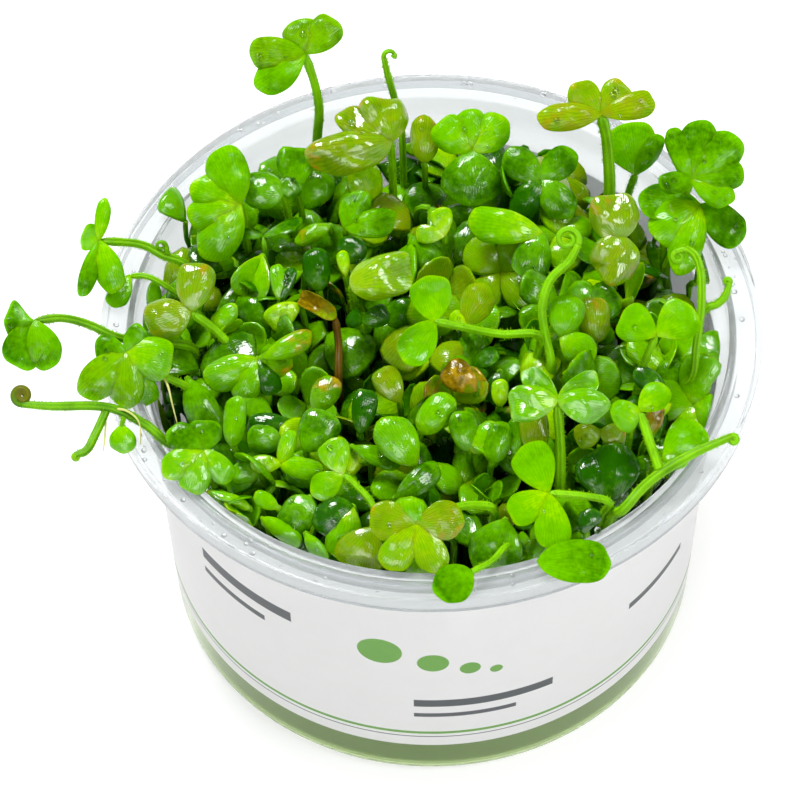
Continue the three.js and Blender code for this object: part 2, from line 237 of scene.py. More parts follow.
@dataclass(frozen=True)
class LeafFinish:
    """Wet leaf: fresh green that turns olive or brown, with fine veins that spread from the joint."""

    dark: tuple = rgb(32, 90, 0)
    fresh: tuple = rgb(103, 175, 0)
    pale: tuple = rgb(168, 220, 0)
    olive: tuple = rgb(136, 150, 8)
    brown: tuple = rgb(98, 74, 4)
    ochre: tuple = rgb(172, 134, 10)
    blotches: float = 520.0
    patches: float = 230.0
    grain: float = 1500.0
    veins: float = 64.0
    bump: float = 0.00005
    dry_above: tuple = (63.5, 69.0)

    def material(self) -> Material:
        """Base colour = dark to fresh to pale by the shade mark, then olive and brown by their own marks.

        Veins are a sine across the leaflet, which doubles its count beyond the middle. Brown comes in
        blotches, first at the margin, and covers the leaflet as its mark passes 1. A film of water lies in
        patches on the leaves near the crown, and less the higher they stand. The wet mark is 1 where it
        covers the leaflet anyway and -1 where there is none.

        Returns:
            The leaf material.
        """
        t = Tree("wet_leaf")
        across, along = t.uv()
        cloud, coarse, fine = t.noise(self.blotches, 4.0), t.noise(self.patches), t.noise(self.grain)
        wander = (cloud - 0.5) * 4.0
        near = t.maths("SINE", (across * self.veins) + wander)
        far = t.maths("SINE", (across * (2 * self.veins)) + wander * 2)
        outer = t.smooth(along, 0.35, 0.75)
        vein = near * (1 - outer) + far * outer
        edge = t.smooth(along, 0.86, 1.0)
        shade = t.mark("shade") + (coarse - 0.5) * 0.2 + (cloud - 0.5) * 0.34 + (fine - 0.5) * 0.35
        # The edge term is painted light: a lighter margin standing for light that shines through the thin
        # edge.
        shade = shade + (0.4 - along) * 0.3 + edge * 0.2
        green = t.mix(t.smooth(shade, 0.0, 0.55), self.dark, self.fresh)
        green = t.mix(t.smooth(shade, 0.5, 1.0), green, self.pale)
        olive = t.mark("olive") * (0.7 + (cloud - 0.4) * 1.6)
        green = t.mix(olive, green, self.olive)
        green = t.mix(t.smooth(vein, 0.0, 1.0) * (0.15 + t.mark("olive") * 0.14), green, self.dark)
        spread = t.mark("brown") * 1.3 + (cloud - 0.5) * 1.4 + (coarse - 0.5) * 0.8 + (along - 0.6) * 0.9
        brown = t.mix(t.smooth(cloud + (fine - 0.5) * 0.4, 0.35, 0.65), self.brown, self.ochre)
        base = t.mix(t.smooth(spread, 0.85, 1.3) * 0.9, green, brown)
        damp = 1 - t.smooth(t.height(), *self.dry_above) * 0.8
        pools, wet = coarse + (cloud - 0.5) * 0.5, t.mark("wet")
        soaked = wet * (0.15 + t.smooth(pools, 0.4, 0.52) * 0.85)
        film = t.maths("MAXIMUM", (0.02 + t.smooth(pools, 0.42, 0.6) * 0.9) * damp, soaked)
        film = t.maths("MAXIMUM", film + t.maths("MINIMUM", wet, 0.0), 0.0)
        normal = t.bump(vein * 0.2 + cloud * 6.0 + coarse * 5.0 + fine * 0.9, 0.7, self.bump)
        return t.finish({
            "Base Color": base,
            "Roughness": 0.5 + cloud * 0.2,
            "Specular IOR Level": 0.0,
            "Subsurface Weight": 0.3,
            "Subsurface Radius": (0.5, 1.0, 0.02),
            "Subsurface Scale": 0.0012,
            "Normal": normal,
        }, {
            "Roughness": 0.07 + cloud * 0.09,
            "Specular IOR Level": 0.8,
            "Coat Weight": 0.3,
            "Coat Roughness": 0.08,
        }, film)


@dataclass(frozen=True)
class StalkFinish:
    """Juicy stalk: lighter along its ridges, browner where the mark says so."""

    fresh: tuple = rgb(134, 204, 0)
    pale: tuple = rgb(214, 220, 130)
    deep: tuple = rgb(36, 96, 0)
    brown: tuple = rgb(104, 78, 14)
    streaks: float = 37.7
    grain: float = 1500.0

    def material(self) -> Material:
        """Base colour = deep to fresh to pale by the shade mark, in long streaks, then brown by its mark.

        Returns:
            The stalk material.
        """
        t = Tree("stalk")
        across, _ = t.uv()
        streak = t.maths("SINE", across * self.streaks)
        cloud = t.noise(220.0, 3.0)
        shade = t.mark("shade") + (cloud - 0.5) * 0.9 + streak * 0.08
        base = t.mix(t.smooth(shade, 0.0, 1.0), self.deep, self.fresh)
        base = t.mix(t.smooth(shade, 1.2, 1.5), base, self.pale)
        base = t.mix(t.mark("brown"), base, self.brown)
        return t.finish({
            "Base Color": base,
            "Roughness": 0.36 + cloud * 0.2,
            "Specular IOR Level": 0.12,
            "Subsurface Weight": 0.25,
            "Subsurface Radius": (0.5, 1.0, 0.02),
            "Subsurface Scale": 0.001,
            "Coat Weight": 0.07,
            "Coat Roughness": 0.2,
            "Normal": t.bump(streak * 0.3 + cloud * 2 + t.noise(self.grain), 0.8, 0.00012),
        })


@dataclass(frozen=True)
class ClearFinish:
    """Milky moulded plastic with a faint ripple from the mould."""

    milky: tuple = (0.7, 0.725, 0.735, 1.0)
    by_gel: tuple = (0.46, 0.6, 0.27, 1.0)
    dark: tuple = (0.0, 0.0, 0.0, 1.0)
    painted_glow: float = 0.05

    def material(self) -> Material:
        """Nearly full transmission that leaves a little white, and a faint bump. It is greener by the gel.

        Above the gel a faint emission, painted light, stands for the light that the milky wall carries
        inside itself.

        Returns:
            The clear plastic material.
        """
        t = Tree("clear_plastic")
        ripple, haze = t.noise(40.0, 1.0), t.noise(90.0)
        above = t.smooth(t.height(), LABEL_BOTTOM, GEL_TOP + 1)
        return t.finish({
            "Base Color": t.mix(above, self.by_gel, self.milky),
            "Roughness": 0.06 + haze * 0.05,
            "IOR": 1.22,
            "Transmission Weight": 0.82,
            # Painted light: a faint emission from the milky wall above the gel.
            "Emission Color": t.mix(above, self.dark, self.milky),
            "Emission Strength": self.painted_glow,
            "Normal": t.bump(ripple, 0.15, 0.0002),
        })


@dataclass(frozen=True)
class WaterFinish:
    """Clear water drops."""

    def material(self) -> Material:
        """Full transmission, with roughness that hardly varies.

        Returns:
            The water material.
        """
        t = Tree("water")
        return t.finish({
            "Base Color": (1.0, 1.0, 1.0, 1.0),
            "Roughness": t.noise(500.0) * 0.02,
            "IOR": 1.333,
            "Transmission Weight": 1.0,
        })


@dataclass(frozen=True)
class GelFinish:
    """Pale green nutrient jelly, a little darker towards the bottom."""

    light: tuple = rgb(120, 160, 36)
    deep: tuple = rgb(92, 130, 22)

    def material(self) -> Material:
        """Base colour = deep to light by height and cloudy noise.

        Returns:
            The gel material.
        """
        t = Tree("gel")
        cloud = t.noise(70.0, 3.0)
        raised = t.smooth(t.height() / GEL_TOP + (cloud - 0.5) * 0.5, 0.1, 1.0)
        return t.finish({
            "Base Color": t.mix(raised, self.deep, self.light),
            "Roughness": 0.18 + cloud * 0.15,
            "Specular IOR Level": 0.15,
            "Subsurface Weight": 0.6,
            "Subsurface Radius": (0.8, 1.0, 0.4),
            "Subsurface Scale": 0.003,
            "Normal": t.bump(cloud, 0.2, 0.0005),
        })


@dataclass(frozen=True)
class LabelFinish:
    """Off-white coated paper with a plain design of rules, dots and bars.

    A rule is its height and half its width, a bar its centre, height and half sizes, and a dot its centre
    and radius, all in millimetres. Half the width of their soft edges is soft, and dot_soft for a dot.
    """

    paper: tuple = rgb(236, 236, 235)
    grey: tuple = rgb(74, 78, 80)
    shadow: tuple = rgb(206, 206, 204)
    green: tuple = rgb(96, 150, 60)
    green_rule: tuple = (12.6, 0.35)
    grey_rule: tuple = (11.4, 0.12)
    bars: tuple = ((-31.0, 38.0, 9.0, 1.3), (-33.5, 33.5, 6.5, 0.7), (8.0, 21.5, 11.0, 1.0),
                   (5.0, 18.0, 8.0, 0.55), (40.0, 30.0, 7.0, 0.8))
    dots: tuple = ((-8.0, 36.0, 3.4), (0.0, 33.5, 2.4), (5.6, 31.5, 1.6), (9.6, 30.2, 1.0))
    soft: float = 0.06
    dot_soft: float = 0.08

    def material(self) -> Material:
        """The UV map is millimetres round the tub and up it.

        A rule is a band of height, a bar is a box about a centre, and a dot is a distance from one.

        Returns:
            The label material.
        """
        t = Tree("label_paper")
        around, up = t.uv()
        grain = t.noise(1800.0, 3.0)

        def band(amount: Value, middle: float, half: float) -> Value:
            """1 within half of middle, with a soft edge."""
            return 1 - t.smooth(t.maths("ABSOLUTE", amount - middle), half - self.soft, half + self.soft)

        colour = t.mix(t.noise(300.0) * 0.12, self.paper, self.shadow)
        colour = t.mix(band(up, *self.green_rule), colour, self.green)
        colour = t.mix(band(up, *self.grey_rule), colour, self.grey)
        for centre, height, half, thick in self.bars:
            colour = t.mix(band(around, centre, half) * band(up, height, thick), colour, self.grey)
        for centre, height, size in self.dots:
            across, above = around - centre, up - height
            away = t.maths("SQRT", across * across + above * above)
            dot = 1 - t.smooth(away, size - self.dot_soft, size + self.dot_soft)
            colour = t.mix(dot, colour, self.green)
        return t.finish({
            "Base Color": colour,
            "Roughness": 0.42 + grain * 0.15,
            "Specular IOR Level": 0.3,
            "Subsurface Weight": 0.8,
            "Subsurface Radius": (1.0, 1.0, 1.0),
            "Subsurface Scale": 0.0012,
            "Normal": t.bump(grain, 0.15, 0.00005),
        })


# Surfaces


@dataclass
class Shell:
    """A closed surface in millimetres, with what its material reads at each point."""

    points: Array
    quads: Array
    triangles: Array = field(default_factory=lambda: np.zeros((0, 3), int))
    uv: Array | None = None
    marks: dict[str, Array] = field(default_factory=dict)

    @staticmethod
    def copies(points: Array, quads: Array, triangles: Array, uv: Array | None = None,
               marks: dict[str, Array] | None = None) -> "Shell":
        """Many surfaces with the same faces, in one shell.

        Args:
            points: Points (n, size, 3).
            quads: Quads of one copy.
            triangles: Triangles of one copy.
            uv: UV map (n, size, 2).
            marks: Marks, with one number a copy (n,) or one a point (n, size).

        Returns:
            One shell.
        """
        n, size, _ = points.shape
        start = (np.arange(n) * size)[:, None, None]
        given = (marks or {}).items()
        return Shell(
            points.reshape(-1, 3), (quads + start).reshape(-1, 4), (triangles + start).reshape(-1, 3),
            None if uv is None else uv.reshape(-1, 2),
            {name: np.broadcast_to(mark.reshape(n, -1), (n, size)).ravel() for name, mark in given},
        )


def tube_faces(rows: int, columns: int, flipped: bool = False) -> tuple[Array, Array]:
    """Faces of rows of points that close on themselves, and of two poles that come after the last row.

    Args:
        rows: Rows of points.
        columns: Points in a row.
        flipped: Whether the faces turn the other way.

    Returns:
        Quads between the rows, and triangles at the poles.
    """
    index = np.arange(rows * columns).reshape(rows, columns)
    after = np.roll(index, -1, 1)
    low, high = np.full(columns, index.size), np.full(columns, index.size + 1)
    quads = np.stack([index[:-1], after[:-1], after[1:], index[1:]], -1).reshape(-1, 4)
    fans = np.array([[low, after[0], index[0]], [high, index[-1], after[-1]]])
    fans = fans.transpose(0, 2, 1).reshape(-1, 3)
    return (quads[:, [0, 3, 2, 1]], fans[:, [0, 2, 1]]) if flipped else (quads, fans)


def joined(shells: list[Shell]) -> Shell:
    """All shells in one, with 0 for a mark that a shell hasn't got.

    Args:
        shells: The shells.

    Returns:
        One shell.
    """
    starts = np.cumsum([0] + [len(s.points) for s in shells])
    names = sorted({name for s in shells for name in s.marks})
    return Shell(
        np.concatenate([s.points for s in shells]),
        np.concatenate([s.quads + start for s, start in zip(shells, starts)]),
        np.concatenate([s.triangles + start for s, start in zip(shells, starts)]),
        np.concatenate([np.zeros((len(s.points), 2)) if s.uv is None else s.uv for s in shells]),
        {n: np.concatenate([s.marks.get(n, np.zeros(len(s.points))) for s in shells]) for n in names},
    )


def put_piece(name: str, shell: Shell, material: Material,
              replaces: tuple[str, ...] = (), crease: float = 180.0) -> None:
    """Makes a Blender piece of a shell, which rides on the only body.

    Args:
        name: The piece's name.
        shell: Its surface.
        material: Its material.
        replaces: CAD nodes that it stands for.
        crease: Edges that turn by more degrees than this stay sharp.
    """
    mesh = bpy.data.meshes.new(name)
    faces = shell.quads.tolist() + shell.triangles.tolist()
    mesh.from_pydata((shell.points * MM).tolist(), [], faces)
    corners = np.zeros(len(mesh.loops), np.int32)
    mesh.loops.foreach_get("vertex_index", corners)
    if shell.uv is not None:
        layer = mesh.uv_layers.new(name="UVMap")
        layer.data.foreach_set("uv", shell.uv[corners].astype(np.float32).ravel())
    for mark, values in shell.marks.items():
        attribute = mesh.attributes.new(mark, "FLOAT", "POINT")
        attribute.data.foreach_set("value", values.astype(np.float32))
    mesh.polygons.foreach_set("use_smooth", np.ones(len(mesh.polygons), bool))
    if crease < 180:
        mesh.set_sharp_from_angle(angle=math.radians(crease))
    mesh.materials.append(material)
    mesh.update()
    piece = bpy.data.objects.new(name, mesh)
    bpy.context.scene.collection.objects.link(piece)
    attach(piece, BODY)
    if replaces:
        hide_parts(*replaces)
    log.info("%s: %d faces", name, len(faces))


def circle(count: int) -> Array:
    """Angles of that many even steps in a full turn."""
    return np.linspace(0, 2 * np.pi, count, endpoint=False)


def about_axis(reach: Array, turn: Array, z: Array | float) -> Array:
    """Points (r cos a, r sin a, z) at a reach from the tub's axis, a turn about it and a height."""
    x, y = reach * np.cos(turn), reach * np.sin(turn)
    return np.stack([x, y, np.broadcast_to(z, x.shape)], -1)


def turned(profile: list[tuple[float, float]], segments: int) -> Shell:
    """A profile turned about the axis: point = (r cos a, r sin a, z).

    Args:
        profile: Points (r, z) from the axis, round the outside and back to the axis.
        segments: Steps in a full turn.

    Returns:
        A closed shell with a pole at each end.
    """
    rings = np.array(profile[1:-1], float)
    points = about_axis(rings[:, :1], circle(segments), rings[:, 1:]).reshape(-1, 3)
    points = np.concatenate([points, [[0, 0, profile[0][1]], [0, 0, profile[-1][1]]]])
    return Shell(points, *tube_faces(len(rings), segments))


def rounded(profile: list[tuple[float, float, float]], steps: int = 5) -> list[tuple[float, float]]:
    """Rounds the corners of an open line of (r, z, corner radius) points.

    A corner is a quadratic curve from a point on one side to a point on the other side of it.

    Args:
        profile: The points.
        steps: Steps in each rounded corner.

    Returns:
        Points (r, z).
    """
    out = [profile[0][:2]]
    for before, here, after in zip(profile, profile[1:], profile[2:]):
        p, a, b = np.array(here[:2]), np.array(before[:2]), np.array(after[:2])
        if here[2] <= 0:
            out.append(tuple(p))
            continue
        start = p + (a - p) / np.linalg.norm(a - p) * here[2]
        end = p + (b - p) / np.linalg.norm(b - p) * here[2]
        t = np.linspace(0, 1, steps + 1)[:, None]
        out.extend(map(tuple, (1 - t) ** 2 * start + 2 * t * (1 - t) * p + t**2 * end))
    return out + [profile[-1][:2]]


def smooth_path(points: list | Array, count: int) -> Array:
    """A smooth curve through points: each span is a cubic whose ends follow the neighbours' directions.

    Args:
        points: Points (m, 3), or several paths at once (n, m, 3).
        count: Points wanted on each curve.

    Returns:
        Points (count, 3) or (n, count, 3).
    """
    p = np.asarray(points, float)
    before, after = 2 * p[..., :1, :] - p[..., 1:2, :], 2 * p[..., -1:, :] - p[..., -2:-1, :]
    padded = np.concatenate([before, p, after], -2)
    at = np.linspace(0, p.shape[-2] - 1, count)
    span = np.minimum(at.astype(int), p.shape[-2] - 2)
    t = (at - span)[:, None]
    a, b, c, d = (padded[..., span + k, :] for k in range(4))
    return 0.5 * (2 * b + (c - a) * t + (2 * a - 5 * b + 4 * c - d) * t**2 + (3 * b - a - 3 * c + d) * t**3)


def unit(vectors: Array) -> Array:
    """Vectors of length 1 in the same directions."""
    return vectors / np.maximum(np.linalg.norm(vectors, axis=-1, keepdims=True), 1e-9)


def tubes(paths: Array, radii: Array, sides: int, shade: float, brown: Array | float = 0.0) -> Shell:
    """Round tubes along paths: point = path + radius (cos a side + sin a other side).

    The side is square to the path and to the direction in which the whole path spreads least.

    Args:
        paths: Centre lines (n, k, 3).
        radii: Radius at each point (n, k).
        sides: Sides of the tube.
        shade: Brightness mark.
        brown: Brown mark, one number or one for each path point (n, k).

    Returns:
        Closed tubes with a pole half a radius beyond each end.
    """
    n, k, _ = paths.shape
    tangent = unit(np.gradient(paths, axis=1))
    spread = paths - paths.mean(1, keepdims=True)
    flat = np.linalg.svd(spread, full_matrices=False)[2][:, -1:, :]
    side = unit(np.cross(tangent, np.broadcast_to(flat, tangent.shape)))
    other = np.cross(tangent, side)
    angle = circle(sides)[:, None]
    ring = np.cos(angle) * side[:, :, None] + np.sin(angle) * other[:, :, None]
    points = (paths[:, :, None] + radii[:, :, None, None] * ring).reshape(n, -1, 3)
    ends = tangent * radii[..., None] * 0.5
    tips = np.stack([paths[:, 0] - ends[:, 0], paths[:, -1] + ends[:, -1]], 1)
    uv = np.stack([
        np.append(np.tile(np.arange(sides) / sides, k), [0, 0]),
        np.append(np.repeat(np.arange(k) / (k - 1), sides), [0, 1]),
    ], -1)
    browns = np.broadcast_to(np.asarray(brown, float), (n, k))
    browns = np.concatenate([np.repeat(browns, sides, 1), browns[:, [0, -1]]], 1)
    return Shell.copies(np.concatenate([points, tips], 1), *tube_faces(k, sides), np.tile(uv, (n, 1, 1)),
                        {"shade": np.full(n, float(shade)), "brown": browns})


# Leaves

# Shares of a leaflet's length: from its joint to its rings' centre, and back to where its veins start.
LEAF_MIDDLE = 0.6
VEIN_START = 0.15


class Form(Enum):
    """A leaflet's curl across and arch along in radians, ripple, fold, taper, thickness and point."""

    DOMED = (-1.5, -0.9, 0.024, 0.0, 0.42, 0.42, 0.0)
    BEAN = (-2.3, -0.9, 0.014, 0.0, 0.16, 0.75, 0.0)
    CUPPED = (1.5, 0.6, 0.02, 0.0, 0.4, 0.38, 0.0)
    FLAT = (-0.6, -0.4, 0.022, 0.0, 0.5, 0.32, 0.0)
    OVAL = (-0.7, -0.5, 0.015, 0.0, 0.12, 0.42, 0.0)
    CRUMPLED = (-1.8, -1.1, 0.11, 0.0, 0.1, 0.5, 0.0)
    RIPPLED = (-1.2, -0.9, 0.1, 0.0, 0.35, 0.42, 0.0)
    FOLDED = (-0.4, -0.5, 0.02, 0.7, 0.5, 0.36, 0.0)
    FAN = (-0.4, -0.4, 0.03, -0.5, 1.2, 0.36, 0.0)
    DROOPING = (-1.2, -1.6, 0.02, 0.0, 0.45, 0.42, 0.0)
    SHRIVELLED = (1.9, -1.3, 0.13, 0.35, 0.2, 0.34, 0.25)


class Tint(Enum):
    """Marks for the leaf finish: shade, olive and brown."""

    DARK = (0.1, 0.0, 0.0)
    GREEN = (0.34, 0.02, 0.0)
    FRESH = (0.6, 0.0, 0.0)
    MID = (0.46, 0.04, 0.0)
    DULL = (0.46, 0.26, 0.1)
    PALE = (0.78, 0.05, 0.0)
    OLIVE = (0.45, 0.7, 0.42)
    AMBER = (0.66, 0.95, 0.42)
    PALE_OLIVE = (0.72, 0.45, 0.3)
    TIPPED = (0.46, 0.15, 0.6)
    BROWN = (0.25, 0.9, 1.1)
    WITHERED = (0.9, 1.0, 1.05)


def tipped(along: Array, normal: Array, lift: Array) -> tuple[Array, Array]:
    """Both turned by lift: cos lift along + sin lift normal, and cos lift normal - sin lift along."""
    c, s = np.cos(lift)[:, None], np.sin(lift)[:, None]
    return along * c + normal * s, normal * c - along * s


def fanned(u: Array, v: Array, length: Array) -> tuple[Array, Array]:
    """Where places lie among the veins, which spread from behind the joint.

    Args:
        u: Places along the flat leaflets.
        v: Places across them.
        length: The leaflets' lengths.

    Returns:
        The angle about the veins' start, and the distance from the joint as a share of the length.
    """
    return np.arctan2(v, u + VEIN_START * length), np.hypot(u, v) / length


@dataclass
class Leaflets:
    """Many leaflets at once, each value an array with one entry a leaflet."""

    base: Array
    along: Array
    normal: Array
    length: Array
    width: Array
    curl: Array
    arch: Array
    ripple: Array
    fold: Array
    phase: Array
    taper: Array
    thickness: Array
    point: Array
    shade: Array
    olive: Array
    brown: Array
    wet: Array

    @staticmethod
    def together(parts: list["Leaflets"]) -> "Leaflets":
        """All the leaflets of several sets."""
        names = Leaflets.__dataclass_fields__
        return Leaflets(*(np.concatenate([getattr(p, n) for p in parts]) for n in names))

    def chosen(self, mask: Array) -> "Leaflets":
        """The leaflets that the mask picks."""
        return Leaflets(*(getattr(self, n)[mask] for n in Leaflets.__dataclass_fields__))

    def flat(self, share: Array, turn: Array) -> tuple[Array, Array]:
        """Places on the flat leaflets, along and across.

        The outline at the angle a is u = length x and v = width / 2 sin a x^taper (1 - x)^point over the
        largest value of that, where x = (1 + cos a) / 2. A share below 1 lies that far from the middle
        towards the outline.

        Args:
            share: Share of the way from the middle to the outline, any shape.
            turn: Angle round the outline, 0 at the tip and pi at the joint, same shape.

        Returns:
            u and v, each with shape (n, *share.shape).
        """
        spread = (-1,) + (1,) * share.ndim
        length, width, taper, phase, point = (values.reshape(spread) for values in (
            self.length / np.sinc(self.arch / 2 / np.pi), self.width / np.sinc(self.curl / 2 / np.pi),
            self.taper, self.phase, self.point))
        x = np.clip((1 + np.cos(turn)) / 2, 0, 1)
        widest = (0.5 + taper) / (1 + taper + point)
        peak = 2 * widest ** (0.5 + taper) * (1 - widest) ** (0.5 + point)
        wobble = 1 + (0.025 * np.sin(3 * turn + phase) + 0.012 * np.sin(7 * turn + 2 * phase)) * x
        u = length * (LEAF_MIDDLE + share * (x * wobble - LEAF_MIDDLE))
        return u, width / 2 * share * np.sin(turn) * x**taper * (1 - x)**point / peak * wobble

    def surface(self, share: Array, turn: Array) -> Array:
        """Middle surface of every leaflet.

        The flat leaflet is rolled about its midline by the curl, more so near its edges, and bent along it
        by the arch. Ripples grow with the square of the distance from the joint, and soft dents cross it.

        Args:
            share: As in flat.
            turn: As in flat.

        Returns:
            Points with shape (n, *share.shape, 3).
        """
        def each(values: Array) -> Array:
            """One value a leaflet, ready to spread over the places."""
            return values.reshape((-1,) + (1,) * share.ndim)

        u, v = self.flat(share, turn)
        length, phase = each(self.length / np.sinc(self.arch / 2 / np.pi)), each(self.phase)
        around, far = fanned(u, v, length)
        raised = each(self.ripple) * length * far**2 * np.sin(8 * around + phase)
        dents = (np.sin(8 * far + phase) * np.cos(5 * around - phase)
                 + 0.4 * np.sin(15 * far - phase + 9 * around)
                 + 0.22 * np.sin(25 * far + 2 * phase + 5 * around) * np.cos(16 * around + phase))
        raised = raised + (0.013 + 0.18 * each(self.ripple)) * length * dents * np.minimum(1, 2 * far)
        raised = raised + each(self.fold) * np.abs(v)
        roll = v * each(self.curl * np.sinc(self.curl / 2 / np.pi) / self.width)
        roll = roll * (0.45 + 0.65 * (2 * v / each(self.width)) ** 2)
        v2 = v * np.sinc(roll / np.pi)
        w2 = raised + v * np.sinc(roll / 2 / np.pi) ** 2 * roll / 2
        bend = u * each(self.arch) / length
        u3 = u * np.sinc(bend / np.pi) - w2 * np.sin(bend)
        w3 = w2 * np.cos(bend) + u * np.sinc(bend / 2 / np.pi) ** 2 * bend / 2
        along, normal = tipped(self.along, self.normal, -self.arch / 2)
        across = np.cross(normal, along)
        spread = (slice(None),) + (None,) * share.ndim
        return (self.base[spread] + u3[..., None] * along[spread] + v2[..., None] * across[spread]
                + w3[..., None] * normal[spread])

    def shell(self, rings: int, around: int) -> Shell:
        """Closed pillows: the middle surface plus and minus half the thickness times cos of the way out.

        Args:
            rings: Rings from the middle to the outline.
            around: Points in a ring.

        Returns:
            One shell of all the leaflets.
        """
        step = np.pi / 2 * np.arange(rings + 1) / rings
        turn = 2 * np.pi * np.arange(around) / around
        share, turn = np.meshgrid(np.sin(step), turn, indexing="ij")
        middle = self.surface(share, turn)
        side = np.roll(middle, -1, 2) - np.roll(middle, 1, 2)
        out = unit(np.cross(np.gradient(middle, axis=1), side))
        out[:, 0] = unit(out[:, 1].mean(1, keepdims=True))
        half = self.thickness[:, None, None, None] / 2 * np.cos(step)[:, None, None]

        def laid(top: Array, low: Array) -> Array:
            """The rings of the top outwards and those of the underside inwards, then the two middles."""
            rows = np.concatenate([top[:, 1:], low[:, -2:0:-1]], 1).reshape(len(top), -1, top.shape[-1])
            return np.concatenate([rows, top[:, :1, 0], low[:, :1, 0]], 1)

        flat = np.stack(fanned(*self.flat(share, turn), self.length[:, None, None]), -1)
        points = laid(middle + out * half, middle - out * half)
        marks = {name: getattr(self, name) for name in ("shade", "olive", "brown", "wet")}
        faces = tube_faces(2 * rings - 1, around, flipped=True)
        return Shell.copies(points, *faces, laid(flat, flat), marks)


def facing_axes(tilt: Array, towards: Array) -> tuple[Array, Array, Array]:
    """Axes of a blade that leans from upright by tilt towards a compass direction, by the shortest turn.

    Args:
        tilt: Degrees from upright (n,).
        towards: Compass direction in degrees (n,).

    Returns:
        The blade's two flat axes and its normal, each (n, 3).
    """
    a, b = np.radians(np.atleast_1d(tilt)), np.radians(np.atleast_1d(towards))
    ca, sa, cb, sb = np.cos(a), np.sin(a), np.cos(b), np.sin(b)
    first = np.stack([cb * cb * ca + sb * sb, sb * cb * (ca - 1), -sa * cb], -1)
    second = np.stack([sb * cb * (ca - 1), sb * sb * ca + cb * cb, -sa * sb], -1)
    return first, second, np.stack([sa * cb, sa * sb, ca], -1)


def leaflet_axes(axes: tuple, turn: Array, lift: Array) -> tuple[Array, Array]:
    """Directions of leaflets: flat = cos turn first + sin turn second, then lifted towards the normal.

    Args:
        axes: The blade's axes, as facing_axes gives them.
        turn: Angle of each leaflet in the blade (n,).
        lift: Angle above the blade (n,).

    Returns:
        The directions along the leaflets and out of them, each (n, 3).
    """
    (first, second, normal), turn = axes, turn[:, None]
    return tipped(np.cos(turn) * first + np.sin(turn) * second, normal, lift)


@dataclass(frozen=True)
class Leaf:
    """One leaflet in a table: its direction in the blade, length, width, form, tint and lift."""

    direction: float
    length: float
    width: float
    form: Form = Form.DOMED
    tint: Tint = Tint.FRESH
    lift: float = 0.0


@dataclass(frozen=True)
class Frond:
    """One frond in a table: its joint, its leaflets' rows, its stalk's points and the way it faces.

    A perched frond's stalk starts at its first point, and any other's in the gel. wet is the leaflets' wet
    mark, and shade the stalk's shade mark, which the left-hand stalks have lower as painted shade.
    """

    name: str
    joint: Point
    leaves: tuple[tuple, ...]
    stalk: tuple[Point, ...] = ()
    thick: float = 1.3
    root: tuple[float, float] | None = None
    facing: tuple[float, float] = (36, -90)
    slot: str = "leaf"
    perched: bool = False
    wet: float = 0.0
    shade: float = 0.75

    def leaflets(self, rng: Random) -> Leaflets:
        """The frond's leaflets with a little variety.

        Args:
            rng: Seeded source of variety.

        Returns:
            The leaflets.
        """
        leaves = [Leaf(*row) for row in self.leaves]
        sizes = np.array([(leaf.direction, leaf.lift, leaf.length, leaf.width) for leaf in leaves])
        direction, lift, length, width = sizes.T
        along, up = leaflet_axes(facing_axes(*self.facing), np.radians(direction), np.radians(lift))
        curl, arch, *form = np.array([leaf.form.value for leaf in leaves]).T
        shade, olive, brown = np.array([leaf.tint.value for leaf in leaves]).T
        n = len(leaves)
        vary = 1 + rng.uniform(-0.15, 0.15, (n, 2))
        phase = rng.uniform(0, 2 * np.pi, n)
        return Leaflets(
            np.array(self.joint) - JOINT_OVERLAP * along, along, up, length + JOINT_OVERLAP, width,
            curl * vary[:, 0], arch * vary[:, 1], *form[:2], phase, *form[2:],
            shade + rng.uniform(-0.06, 0.06, n), olive, brown, np.full(n, self.wet),
        )

    def stalk_path(self, count: int = 34) -> Array:
        """Smooth line from the gel, through the stalk's points, to the joint.

        A stalk without points has one below its joint. It roots at 86% of its first point's distance from
        the axis, unless the table says where, and it stands no further out than the wall lets it.

        Args:
            count: Points wanted.

        Returns:
            Points (count, 3).
        """
        if self.perched:
            return smooth_path([*self.stalk, self.joint], count)
        joint, normal = np.array(self.joint), facing_axes(*self.facing)[2][0]
        points = self.stalk or [(joint - 4.5 * normal - (0, 0, 4)) * (0.97, 0.97, 1)]
        first = np.array(points[0])
        root = np.array([*(self.root or first[:2] * 0.86), GEL_TOP - 1])
        near = first * (0.985, 0.985, 1) - (0, 0, 7)
        near[:2] *= min(1, STALK_REACH / max(math.hypot(near[0], near[1]), 1e-6))
        line = [root, first * 0.55 + root * 0.45, near, *points, joint - 0.2 * normal]
        return smooth_path(line, count)


# In the tables a leaflet's row is the start of a Leaf, without the fields that have their usual values.
# A low frond's row is its joint and then its leaflets.
DOMED, BEAN, CUPPED, FLAT, OVAL, CRUMPLED, RIPPLED, FOLDED, FAN, DROOPING, SHRIVELLED = Form
DARK, GREEN, FRESH, MID, DULL, PALE, OLIVE, AMBER, PALE_OLIVE, TIPPED, BROWN, WITHERED = Tint

